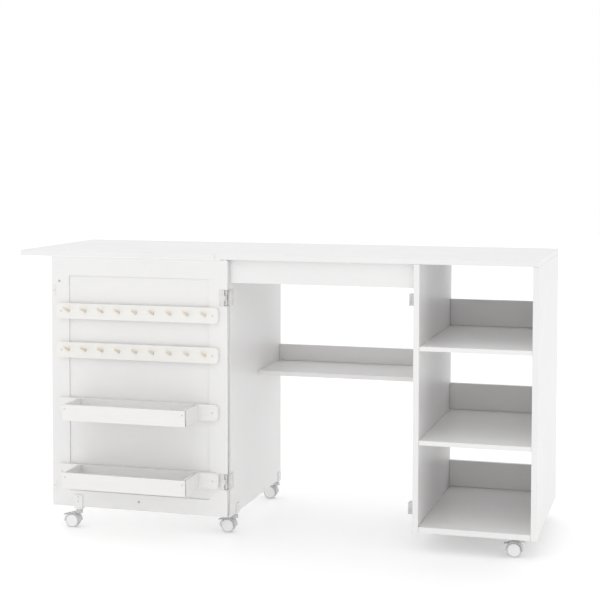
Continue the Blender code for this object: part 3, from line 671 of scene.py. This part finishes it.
def make_door_frame():
    """Stiles and rails under one coat of lacquer, with the top's slope and the hinge notches."""
    nodes = ["door_lock_stile", "door_hinge_stile", "door_top_rail", "door_bottom_rail"]
    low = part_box(nodes[0])[0]
    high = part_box(nodes[1])[1]
    chamfer_back = low.y + DOOR_TOP_CHAMFER
    outline = [(low.y, low.z), (high.y, low.z)]
    outline.append((high.y, high.z - DOOR_TOP_SLOPE * (high.y - chamfer_back)))
    outline += [(chamfer_back, high.z), (low.y, high.z - DOOR_TOP_CHAMFER)]
    blank = prism_mesh(outline, low.x, high.x, "X")
    panel_low, panel_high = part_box("door_centre_panel")
    room_low = (panel_low.x - CONTACT, low.y - NOTCH_REACH, panel_low.z - CONTACT)
    room_high = (panel_high.x + CONTACT, high.y + NOTCH_REACH, panel_high.z + CONTACT)
    cutters = [box_mesh(room_low, room_high)]
    axis = JOINT_PLACE["door_swing"]
    for level in ("lower", "upper"):
        plate_low, plate_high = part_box(level + "_door_hinge_frame_plate")
        notch_low = (axis.x - NOTCH_REACH, low.y - NOTCH_REACH, plate_low.z - NOTCH_CLEARANCE)
        notch_high = (high.x + NOTCH_REACH, high.y + NOTCH_REACH, plate_high.z + NOTCH_CLEARANCE)
        cutters.append(box_mesh(notch_low, notch_high))
    whole_frame = cut(blank, *cutters)
    round_sharp_edges(whole_frame, DOOR_ROUND)
    mesh = finished_mesh(whole_frame, "door_frame", LACQUER)
    piece("door_frame", mesh, "door", replaces=nodes)


def make_knob():
    """A turned knob with a waisted neck, and the head of its screw on the door's inner face."""
    low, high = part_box("door_knob")
    radius = (high.x - low.x) / 2
    length = high.y - low.y
    neck = []
    for step in range(KNOB_NECK_STEPS + 1):
        share = step / KNOB_NECK_STEPS
        wider = (KNOB_NECK_END[0] - KNOB_NECK_START[0]) * share ** KNOB_NECK_POWER
        further = (KNOB_NECK_END[1] - KNOB_NECK_START[1]) * share
        neck.append((KNOB_NECK_START[0] + wider, KNOB_NECK_START[1] + further))
    loop = [(radius * across, length * along) for across, along in (*KNOB_FOOT, *neck, *KNOB_CAP)]
    mesh = finished_mesh(revolved_mesh(loop), "knob", KNOB_FINISH)
    centre = (low + high) / 2
    place = Vector((centre.x, low.y, centre.z))
    piece("knob", mesh, "door", facing(place, (0, 1, 0)), replaces=["door_knob"])
    inner_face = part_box("door_lock_stile")[0].y
    add_screws("knob", [(centre.x, inner_face, centre.z)], (0, -1, 0), "door")


def make_rail_screw():
    """The screw that holds the middle of the door's bottom rail."""
    low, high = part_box("door_bottom_rail")
    place = ((low.x + high.x) / 2, low.y, low.z + RAIL_SCREW_HEIGHT)
    add_screws("door_bottom_rail", [place], (0, -1, 0), "door")


# ---------------------------------------------------------------- hinges

PLATE = 0.0015
KNUCKLE_GAP = 0.0003
PIN_RADIUS = 0.0014
PIN_HEAD = 0.0004

# Shares: a knuckle's rims, a pin's dome, and the screws' places across and along a plate
KNUCKLE_SOFTNESS = 0.12
PIN_DOME = (0.7, 0.6)
SCREW_ROW = 0.55
DOOR_HINGE_SCREWS = (0.2, 0.8)
LEAF_HINGE_SCREWS = (0.15, 0.5, 0.85)


def knuckle_mesh(radius, start, end):
    """One rolled knuckle along Z, with softened rims, from start to end."""
    soft = radius * KNUCKLE_SOFTNESS
    loop = [(0.0, start), (radius - soft, start), (radius, start + soft)]
    loop += [(radius, end - soft), (radius - soft, end), (0.0, end)]
    return revolved_mesh(loop, steps=SMALL_STEPS)


def pin_mesh(start, end):
    """A pin whose domed ends stand just proud of the knuckles."""
    across, up = PIN_RADIUS * PIN_DOME[0], PIN_HEAD * PIN_DOME[1]
    loop = [(0.0, start - PIN_HEAD), (across, start - up), (PIN_RADIUS, start)]
    loop += [(PIN_RADIUS, end), (across, end + up), (0.0, end + PIN_HEAD)]
    return revolved_mesh(loop, steps=SMALL_STEPS)


def make_door_hinge(level):
    """Frame and door plates with three knuckles on the door's axis, a pin and countersunk screws."""
    axis = JOINT_PLACE["door_swing"]
    frame_node = level + "_door_hinge_frame_plate"
    door_node = level + "_door_hinge_door_plate"
    frame_low, frame_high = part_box(frame_node)
    door_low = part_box(door_node)[0]
    bottom, top = frame_low.z, frame_high.z
    third = (top - bottom) / 3
    radius = axis.x - frame_low.x
    to_axis = Matrix.Translation((axis.x, axis.y, 0.0))

    side_low, side_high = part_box("left_side_panel")
    face_back = side_low.y - FITTING_GAP
    face_front = face_back - PLATE
    return_left = side_high.x + FITTING_GAP
    return_right = return_left + PLATE
    face_low = (axis.x + PLATE / 2 + CONTACT, face_front, bottom)
    face = box_mesh(face_low, (return_right, face_back, top), SHEET_ROUND)
    side_corner = (return_left, face_back + CONTACT, bottom)
    parts = [box_mesh(side_corner, (return_right, frame_high.y, top), SHEET_ROUND)]
    for start in (bottom, top - third):
        low = (axis.x - PLATE / 2, axis.y, start)
        high = (axis.x + PLATE / 2, face_back, start + third)
        parts.append(box_mesh(low, high, SHEET_ROUND / 2))
        parts.append(moved(knuckle_mesh(radius, start, start + third), to_axis))
    mesh = finished_mesh(merged(face, *parts), frame_node, NICKEL_PLATE)
    piece(frame_node + "_steel", mesh, "cabinet", replaces=[frame_node])

    plate_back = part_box("door_hinge_stile")[0].y - FITTING_GAP
    plate_front = plate_back - PLATE
    plate_right = axis.x - radius - KNUCKLE_GAP
    plate = box_mesh((door_low.x, plate_front, bottom), (plate_right, plate_back, top), SHEET_ROUND)
    middle = (bottom + third + KNUCKLE_GAP, top - third - KNUCKLE_GAP)
    neck_low = (plate_right + CONTACT, plate_front, middle[0])
    neck = box_mesh(neck_low, (axis.x + PLATE / 2, plate_back, middle[1]))
    roll = moved(knuckle_mesh(radius, *middle), to_axis)
    mesh = finished_mesh(merged(plate, neck, roll), door_node, NICKEL_PLATE)
    piece(door_node + "_steel", mesh, "door", replaces=[door_node])

    pin = finished_mesh(moved(pin_mesh(bottom, top), to_axis), "pin", SCREW)
    piece(level + "_door_hinge_pin", pin, "cabinet")
    rows = [bottom + (top - bottom) * share for share in DOOR_HINGE_SCREWS]
    door_middle = (door_low.x + plate_right) / 2
    add_screws(door_node, [(door_middle, plate_front, z) for z in rows], (0, -1, 0), "door", FLAT_HEAD)
    side_middle = face_back + (frame_high.y - face_back) * SCREW_ROW
    side_places = [(return_left + PLATE, side_middle, z) for z in rows]
    add_screws(frame_node, side_places, (1, 0, 0), "cabinet", FLAT_HEAD)


def make_leaf_hinge(level):
    """A butt hinge under the seam: plates, knuckles, pin and three screws on each side."""
    axis = JOINT_PLACE["leaf_drop"]
    top_node = level + "_leaf_hinge_top_plate"
    leaf_node = level + "_leaf_hinge_leaf_plate"
    top_low, top_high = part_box(top_node)
    leaf_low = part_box(leaf_node)[0]
    start, end = top_low.y, top_high.y
    third = (end - start) / 3
    radius = axis.z - top_low.z
    along_y = Matrix.Translation((axis.x, 0.0, axis.z)) @ Matrix.Rotation(-math.pi / 2, 4, "X")
    upper = top_high.z
    clear = radius + KNUCKLE_GAP
    outer_spans = [(start, start + third), (end - third, end)]
    middle_span = (start + third + KNUCKLE_GAP, end - third - KNUCKLE_GAP)
    sides = (
        (top_node, "cabinet", 1, top_high.x, outer_spans),
        (leaf_node, "leaf", -1, leaf_low.x, [middle_span]),
    )
    for node, body, direction, outer, spans in sides:
        inner = axis.x + direction * clear
        plate = box_mesh((inner, start, upper - PLATE), (outer, end, upper), SHEET_ROUND)
        tongue_end = inner - direction * CONTACT
        parts = []
        for low, high in spans:
            parts.append(box_mesh((axis.x, low, upper - PLATE), (tongue_end, high, upper - CONTACT)))
            parts.append(moved(knuckle_mesh(radius, low, high), along_y))
        mesh = finished_mesh(merged(plate, *parts), node, NICKEL_PLATE)
        piece(node + "_steel", mesh, body, replaces=[node])
        row = axis.x + direction * (clear + (abs(outer - axis.x) - clear) * SCREW_ROW)
        along = [start + (end - start) * share for share in LEAF_HINGE_SCREWS]
        places = [(row, y, upper - PLATE) for y in along]
        add_screws(node, places, (0, 0, -1), body, FLAT_HEAD)
    pin = finished_mesh(moved(pin_mesh(start, end), along_y), "pin", SCREW)
    piece(level + "_leaf_hinge_pin", pin, "cabinet")


# ---------------------------------------------------------------- catches

EAR_THICKNESS = 0.002
MAGNET_POLE = 0.0016
CASE_STEPS = 4

# Shares of the catch's depth, height and width, of the case's height and of the strike's width
EAR_INSET = 0.25
CASE_HALF = 0.34
POLE_PLACES = (0.28, 0.72)
POLE_HEIGHT = 0.75
STRIKE_CORNER = 0.3


def make_catch(level):
    """A magnet case with two steel poles and two ears, and the strike that it holds."""
    node = level + "_magnetic_catch"
    low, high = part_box(node)
    middle = (low + high) / 2
    height = high.z - low.z
    depth = high.y - low.y
    body_half = height * CASE_HALF
    case_low = (low.x, low.y + MAGNET_POLE, middle.z - body_half)
    case_high = (high.x, high.y, middle.z + body_half)
    case = box_mesh(case_low, case_high, BOARD_ROUND, CASE_STEPS)
    ears = []
    ear_low, ear_high = low.y + depth * EAR_INSET, high.y - depth * EAR_INSET
    ear_left = high.x - EAR_THICKNESS
    for start, end in ((low.z, case_low[2] - CONTACT), (case_high[2] + CONTACT, high.z)):
        ears.append(box_mesh((ear_left, ear_low, start), (high.x, ear_high, end), SHEET_ROUND))
    mesh = finished_mesh(merged(case, *ears), node, CATCH_PLASTIC)
    piece(node + "_case", mesh, "cabinet", replaces=[node])
    width = high.x - low.x
    poles = []
    for share in POLE_PLACES:
        x = low.x + width * share
        pole_low = (x - MAGNET_POLE / 2, low.y, middle.z - body_half * POLE_HEIGHT)
        pole_high = (x + MAGNET_POLE / 2, low.y + 2 * MAGNET_POLE, middle.z + body_half * POLE_HEIGHT)
        poles.append(box_mesh(pole_low, pole_high, SHEET_ROUND / 2))
    mesh = finished_mesh(merged(*poles), node + "_poles", NICKEL_PLATE)
    piece(node + "_poles", mesh, "cabinet")
    ear_reach = (height / 2 + body_half) / 2
    places = [(high.x - EAR_THICKNESS, middle.y, middle.z + sign * ear_reach) for sign in (-1, 1)]
    add_screws(node, places, (-1, 0, 0), "cabinet", FLAT_HEAD)

    strike = level + "_catch_strike"
    low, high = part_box(strike)
    outline = rounded_rectangle((low.x, low.z), (high.x, high.z), (high.x - low.x) * STRIKE_CORNER)
    mesh = finished_mesh(prism_mesh(outline, low.y, high.y, "Y", SHEET_ROUND), strike, COATED_STEEL)
    piece(strike + "_steel", mesh, "door", replaces=[strike])
    place = ((low.x + high.x) / 2, low.y, (low.z + high.z) / 2)
    add_screws(strike, [place], (0, -1, 0), "door", FLAT_HEAD)


# ---------------------------------------------------------------- casters

CASTERS = ("left_front", "left_back", "right_front", "right_back", "door")

# Housing: hood and side arms round the wheels, web and hub between them, head over the hood
HOOD_INNER = 0.0197
HOOD_OUTER = 0.0220
HOOD_HALF = 0.0125
HOOD_ROUND = 0.0006
HOOD_START = math.radians(-5)
HOOD_END = math.radians(120)
ARM_START = HOOD_END + 0.002
ARM_END = math.radians(186)
ARM_INNER = 0.0090
WEB_HALF = 0.0022
HUB_HALF = 0.0025
HUB_RADIUS = 0.0065
AXLE_RADIUS = 0.0030
AXLE_CLEARANCE = 0.0003
HEAD_RADIUS = 0.009
HEAD_FOOT = 0.0400
HEAD_FOOT_FLARE = 1.12
HEAD_NECK = 0.0428
HEAD_TOP = 0.0494
HEAD_TOP_ROUND = ((1.0, 0.0016), (0.93, 0.0004), (0.84, 0.0))

# Wheels: core, tread with round shoulders, and a dished cap
WHEEL_INNER_FACE = 0.0028
WHEEL_SIDE = 0.0115
TREAD_DEPTH = 0.0022
TREAD_ROUND = 0.0015
TREAD_INNER_STEP = 0.0002
TREAD_OUTER_STEP = 0.0005
TREAD_CORNER = 0.0012
CAP_THICKNESS = 0.0012

# The cap's rim as steps inwards from the core's rim and from the wheel's side face
CAP_RIM = (
    (0.0, 0.0007),
    (0.0004, 0.0001),
    (0.0012, 0.0),
    (0.0019, 0.0001),
    (0.0023, 0.0005),
    (0.0027, 0.0005),
    (0.0032, 0.0002),
)

# The cap's crown as shares of the rim's radius and heights over the side face
CAP_CROWN = ((0.55, 0.0002), (0.25, 0.0003), (0.0, 0.0003))


def axle_frame(centre):
    """Carries a form turned about Z onto an axle along Y: its angles run from +X upwards."""
    return Matrix.Translation(centre) @ Matrix.Rotation(math.pi / 2, 4, "X")


def hood_loop(low, high):
    """The hood's cross-section, in radius and width, between two widths."""
    return rounded_rectangle((HOOD_INNER, low), (HOOD_OUTER, high), HOOD_ROUND)


def housing_mesh(stem, axle):
    """Hood with side arms that reach round the wheels, web, hub, and the turned swivel head."""
    round_axle = axle_frame(axle)
    hood = moved(revolved_mesh(hood_loop(-HOOD_HALF, HOOD_HALF), HOOD_START, HOOD_END), round_axle)
    parts = []
    for low, high in ((-HOOD_HALF, -ARM_INNER), (ARM_INNER, HOOD_HALF)):
        arm = revolved_mesh(hood_loop(low, high), ARM_START, ARM_END)
        parts.append(moved(arm, round_axle))
    web_outline = arc((0.0, 0.0), HOOD_INNER - CONTACT, HOOD_START, HOOD_END, SMALL_STEPS)
    web_outline += arc((0.0, 0.0), HUB_RADIUS, HOOD_END, HOOD_START, SMALL_STEPS)
    parts.append(moved(prism_mesh(web_outline, -WEB_HALF, WEB_HALF, "Z"), round_axle))
    bore, rim = AXLE_RADIUS + AXLE_CLEARANCE, HUB_RADIUS - CONTACT
    hub = [(bore, -HUB_HALF), (rim, -HUB_HALF), (rim, HUB_HALF), (bore, HUB_HALF)]
    parts.append(moved(revolved_mesh(hub), round_axle))
    head = [(0.0, HEAD_FOOT), (HEAD_RADIUS * HEAD_FOOT_FLARE, HEAD_FOOT), (HEAD_RADIUS, HEAD_NECK)]
    head += [(HEAD_RADIUS * share, HEAD_TOP - below) for share, below in HEAD_TOP_ROUND]
    head.append((0.0, HEAD_TOP))
    parts.append(moved(revolved_mesh(head), Matrix.Translation((stem.x, stem.y, 0.0))))
    return merged(hood, *parts)


def wheel_loops(radius):
    """The turned profiles of one wheel, as (radius, height) along the axle: core, tread and cap."""
    inner, side = WHEEL_INNER_FACE, WHEEL_SIDE
    rim = radius - TREAD_DEPTH
    core_top = side - CAP_THICKNESS
    core = [(AXLE_RADIUS, inner), (rim, inner), (rim, core_top), (AXLE_RADIUS, core_top)]
    low, high = inner + TREAD_INNER_STEP, side - TREAD_OUTER_STEP
    shoulder = radius - TREAD_ROUND
    tread = [(rim + CONTACT, inner + TREAD_OUTER_STEP), (radius - TREAD_CORNER, low)]
    tread += arc((shoulder, low + TREAD_ROUND), TREAD_ROUND, -math.pi / 2, 0.0, CORNER_STEPS)
    tread += arc((shoulder, high - TREAD_ROUND), TREAD_ROUND, 0.0, math.pi / 2, CORNER_STEPS)
    tread.append((rim + CONTACT, high))
    cap = [(0.0, core_top + CONTACT), (rim - CONTACT, core_top + CONTACT)]
    cap += [(rim - inwards, side - below) for inwards, below in CAP_RIM]
    cap += [(rim * share, side + above) for share, above in CAP_CROWN]
    return core, tread, cap


def make_wheels(name, node, body, axle):
    """Twin wheels: moulded cores and caps, softer treads, and the steel axle between them."""
    low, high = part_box(node)
    core, tread, cap = wheel_loops((high.z - low.z) / 2)
    cores = []
    treads = []
    for mirror in (1, -1):
        turned = axle_frame(axle) @ Matrix.Diagonal((1.0, 1.0, mirror, 1.0))
        cores += [moved(revolved_mesh(core), turned), moved(revolved_mesh(cap), turned)]
        treads.append(moved(revolved_mesh(tread), turned))
    mesh = finished_mesh(merged(*cores), name + "_cores", WHEEL_PLASTIC)
    piece(name + "_cores", mesh, body, replaces=[node])
    mesh = finished_mesh(merged(*treads), name + "_treads", TREAD_RUBBER)
    piece(name + "_treads", mesh, body)
    thick, half = AXLE_RADIUS - CONTACT, WHEEL_SIDE / 2
    loop = [(0.0, -half), (thick, -half), (thick, half), (0.0, half)]
    rod = moved(revolved_mesh(loop, steps=SMALL_STEPS), axle_frame(axle))
    mesh = finished_mesh(rod, name + "_axle", SCREW)
    piece(name + "_axle", mesh, body)


# Brake lever
LEVER_HALF = 0.008
LEVER_THICKNESS = 0.0022
LEVER_TAPER = 0.25
LEVER_LENGTH = 0.013
LEVER_DROP = 0.003
BARREL = 0.002

# Grip ribs across the lever. Their places are shares of its length, their reach of its half width.
RIB_COUNT = 4
FIRST_RIB = 0.5
RIB_SPACING = 0.14
RIB_HALF = 0.0004
RIB_SUNK = 0.0002
RIB_REACH = 0.8
RIB_ROUND = 0.0002
RIB_STEPS = 2


def lever_section(share):
    """The tongue's reach, the height of its middle and half its thickness at a share of its length."""
    drop = -LEVER_DROP * math.sin(share * math.pi / 2)
    return -LEVER_LENGTH * share, drop, LEVER_THICKNESS / 2 * (1 - LEVER_TAPER * share)


def lever_mesh(pivot):
    """A pressed brake pedal: barrel on its pin, a curved tongue and grip ribs across its end."""
    upper = []
    lower = []
    for step in range(CORNER_STEPS + 1):
        reach, drop, half = lever_section(step / CORNER_STEPS)
        upper.append((reach, drop + half))
        lower.append((reach, drop - half))
    tongue = prism_mesh(upper + lower[::-1], -LEVER_HALF, LEVER_HALF, "Y", SHEET_ROUND)
    barrel = [(0.0, -LEVER_HALF), (BARREL, -LEVER_HALF), (BARREL, LEVER_HALF), (0.0, LEVER_HALF)]
    parts = [moved(revolved_mesh(barrel, steps=SMALL_STEPS), axle_frame((0.0, 0.0, 0.0)))]
    for number in range(RIB_COUNT):
        reach, drop, half = lever_section(FIRST_RIB + RIB_SPACING * number)
        crest = drop + half
        low = (reach - RIB_HALF, -LEVER_HALF * RIB_REACH, crest - RIB_SUNK)
        high = (reach + RIB_HALF, LEVER_HALF * RIB_REACH, crest + RIB_HALF)
        parts.append(box_mesh(low, high, RIB_ROUND, RIB_STEPS))
    return moved(merged(tongue, *parts), Matrix.Translation(pivot))


# Bracket: plate under the board, boss over the swivel, and the tab up the board's side
PLATE_TOP = 0.0552
PLATE_THICKNESS = 0.0027
PLATE_CORNER = 0.0025
BOSS_RADIUS = 0.008
BOSS_CHAMFER = 0.0004
TAB_THICKNESS = 0.0025
TAB_SCREW_DROPS = (0.006, 0.018)
FLAT_SCREW_INSET = 0.0045


def plate_and_boss(low, high, stem):
    """A plate under the board, and a boss for the stem."""
    plate_low = PLATE_TOP - PLATE_THICKNESS
    outline = rounded_rectangle((low.x, low.y), (high.x, high.y), PLATE_CORNER)
    plate = prism_mesh(outline, plate_low, PLATE_TOP, "Z", SHEET_ROUND)
    boss = [(0.0, low.z), (BOSS_RADIUS - BOSS_CHAMFER, low.z), (BOSS_RADIUS, low.z + BOSS_CHAMFER)]
    boss += [(BOSS_RADIUS, plate_low - CONTACT), (0.0, plate_low - CONTACT)]
    under = moved(revolved_mesh(boss, steps=SMALL_STEPS), Matrix.Translation((stem.x, stem.y, 0.0)))
    return merged(plate, under)


def tab_mesh(low, high, tab_axis):
    """A round-cornered tab up the board's side, on the outermost layer of the bracket."""
    across = 0 if tab_axis[0] else 1
    along = 1 - across
    if sum(tab_axis) > 0:
        start, end = high[across] - TAB_THICKNESS, high[across]
    else:
        start, end = low[across], low[across] + TAB_THICKNESS
    tab_low = (low[along], PLATE_TOP + CONTACT)
    outline = rounded_rectangle(tab_low, (high[along], high.z), TAB_THICKNESS)
    return prism_mesh(outline, start, end, "XY"[across], SHEET_ROUND)


def make_bracket(name, carrier, stem, tab_axis):
    """The fixed plate of a caster. tab_axis is where its tab faces, or None for a flat one."""
    low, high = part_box(name)
    bm = plate_and_boss(low, high, stem)
    if tab_axis:
        merged(bm, tab_mesh(low, high, tab_axis))
        places = []
        for drop in TAB_SCREW_DROPS:
            place = Vector((stem.x, stem.y, high.z - drop))
            if tab_axis[0]:
                place.x = high.x
            else:
                place.y = low.y
            places.append(place)
        add_screws(name, places, tab_axis, carrier, SMALL_HEAD)
    else:
        under = PLATE_TOP - PLATE_THICKNESS
        places = []
        for x in (low.x + FLAT_SCREW_INSET, high.x - FLAT_SCREW_INSET):
            for y in (low.y + FLAT_SCREW_INSET, high.y - FLAT_SCREW_INSET):
                places.append((x, y, under))
        add_screws(name, places, (0, 0, -1), carrier, FLAT_HEAD)
    mesh = finished_mesh(bm, name, COATED_STEEL)
    piece(name + "_steel", mesh, carrier, replaces=[name])


def make_casters():
    """Five braked twin-wheel casters, each of them bracket, housing, wheels and pedal."""
    for label in CASTERS:
        name = label + "_caster"
        stem = JOINT_PLACE[f"{label}_caster_swivel"]
        axle = JOINT_PLACE[f"{label}_wheel_roll"]
        pivot = JOINT_PLACE[f"{label}_brake_press"]
        carrier = "door" if label == "door" else "cabinet"
        tab_axis = {"left": (1, 0, 0), "door": (0, -1, 0)}.get(label.split("_")[0])
        make_bracket(name + "_bracket", carrier, stem, tab_axis)
        mesh = finished_mesh(housing_mesh(stem, axle), name + "_housing", HOOD_PLASTIC)
        piece(name + "_shell", mesh, label + "_caster", replaces=[name + "_housing"])
        make_wheels(name + "_wheel", name + "_wheels", label + "_wheels", axle)
        mesh = finished_mesh(lever_mesh(pivot), name + "_pedal", HOOD_PLASTIC)
        piece(name + "_pedal", mesh, label + "_brake", replaces=[name + "_brake_lever"])


# ---------------------------------------------------------------- studio


def make_floor():
    bm = bmesh.new()
    bmesh.ops.create_grid(bm, x_segments=4, y_segments=4, size=FLOOR_HALF)
    mesh = bpy.data.meshes.new("floor")
    bm.to_mesh(mesh)
    bm.free()
    mesh.materials.append(floor_material())
    floor = bpy.data.objects.new("floor", mesh)
    bpy.context.scene.collection.objects.link(floor)


def add_area_light(name, place, target, size, power):
    light = bpy.data.lights.new(name, "AREA")
    light.shape = "RECTANGLE"
    light.size, light.size_y = size
    light.energy = power
    holder = bpy.data.objects.new(name, light)
    bpy.context.scene.collection.objects.link(holder)
    holder.location = place
    holder.rotation_euler = (Vector(target) - Vector(place)).to_track_quat("-Z", "Y").to_euler()


def make_studio():
    """White surroundings, and one large soft light from above in front."""
    scene = bpy.context.scene
    scene.view_settings.view_transform = "Standard"
    world = bpy.data.worlds.new("studio")
    scene.world = world
    world.use_nodes = True
    background = world.node_tree.nodes["Background"]
    background.inputs["Color"].default_value = (1.0, 1.0, 1.0, 1.0)
    background.inputs["Strength"].default_value = SKY_STRENGTH
    make_floor()
    add_area_light("key_softbox", KEY_PLACE, KEY_TARGET, KEY_SIZE, KEY_POWER)


def make_camera():
    """A level camera, turned by its yaw, tipped down by its pitch and then rolled a little."""
    yaw, pitch, roll = CAMERA_YAW, CAMERA_PITCH, CAMERA_ROLL
    level = math.cos(pitch)
    forward = Vector((-math.sin(yaw) * level, math.cos(yaw) * level, -math.sin(pitch)))
    right = Vector((math.cos(yaw), math.sin(yaw), 0.0))
    up = right.cross(forward)
    across = right * math.cos(roll) + up * math.sin(roll)
    upward = up * math.cos(roll) - right * math.sin(roll)
    data = bpy.data.cameras.new("camera")
    data.lens = CAMERA_LENS
    data.shift_x, data.shift_y = CAMERA_SHIFT
    data.clip_end = CAMERA_FAR
    camera = bpy.data.objects.new("camera", data)
    bpy.context.scene.collection.objects.link(camera)
    turn = Matrix((across, upward, -forward)).transposed().to_4x4()
    low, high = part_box("top_panel")
    across_from, in_front = CAMERA_FROM_CORNER
    place = (high.x + across_from, low.y + in_front, CAMERA_HEIGHT)
    camera.matrix_world = Matrix.Translation(place) @ turn
    bpy.context.scene.camera = camera


make_camera()
make_studio()
finish_cad_nodes()
make_racks_and_bins()
make_door_frame()
make_knob()
make_rail_screw()
for height in ("lower", "upper"):
    make_door_hinge(height)
    make_catch(height)
for depth in ("front", "back"):
    make_leaf_hinge(depth)
make_casters()
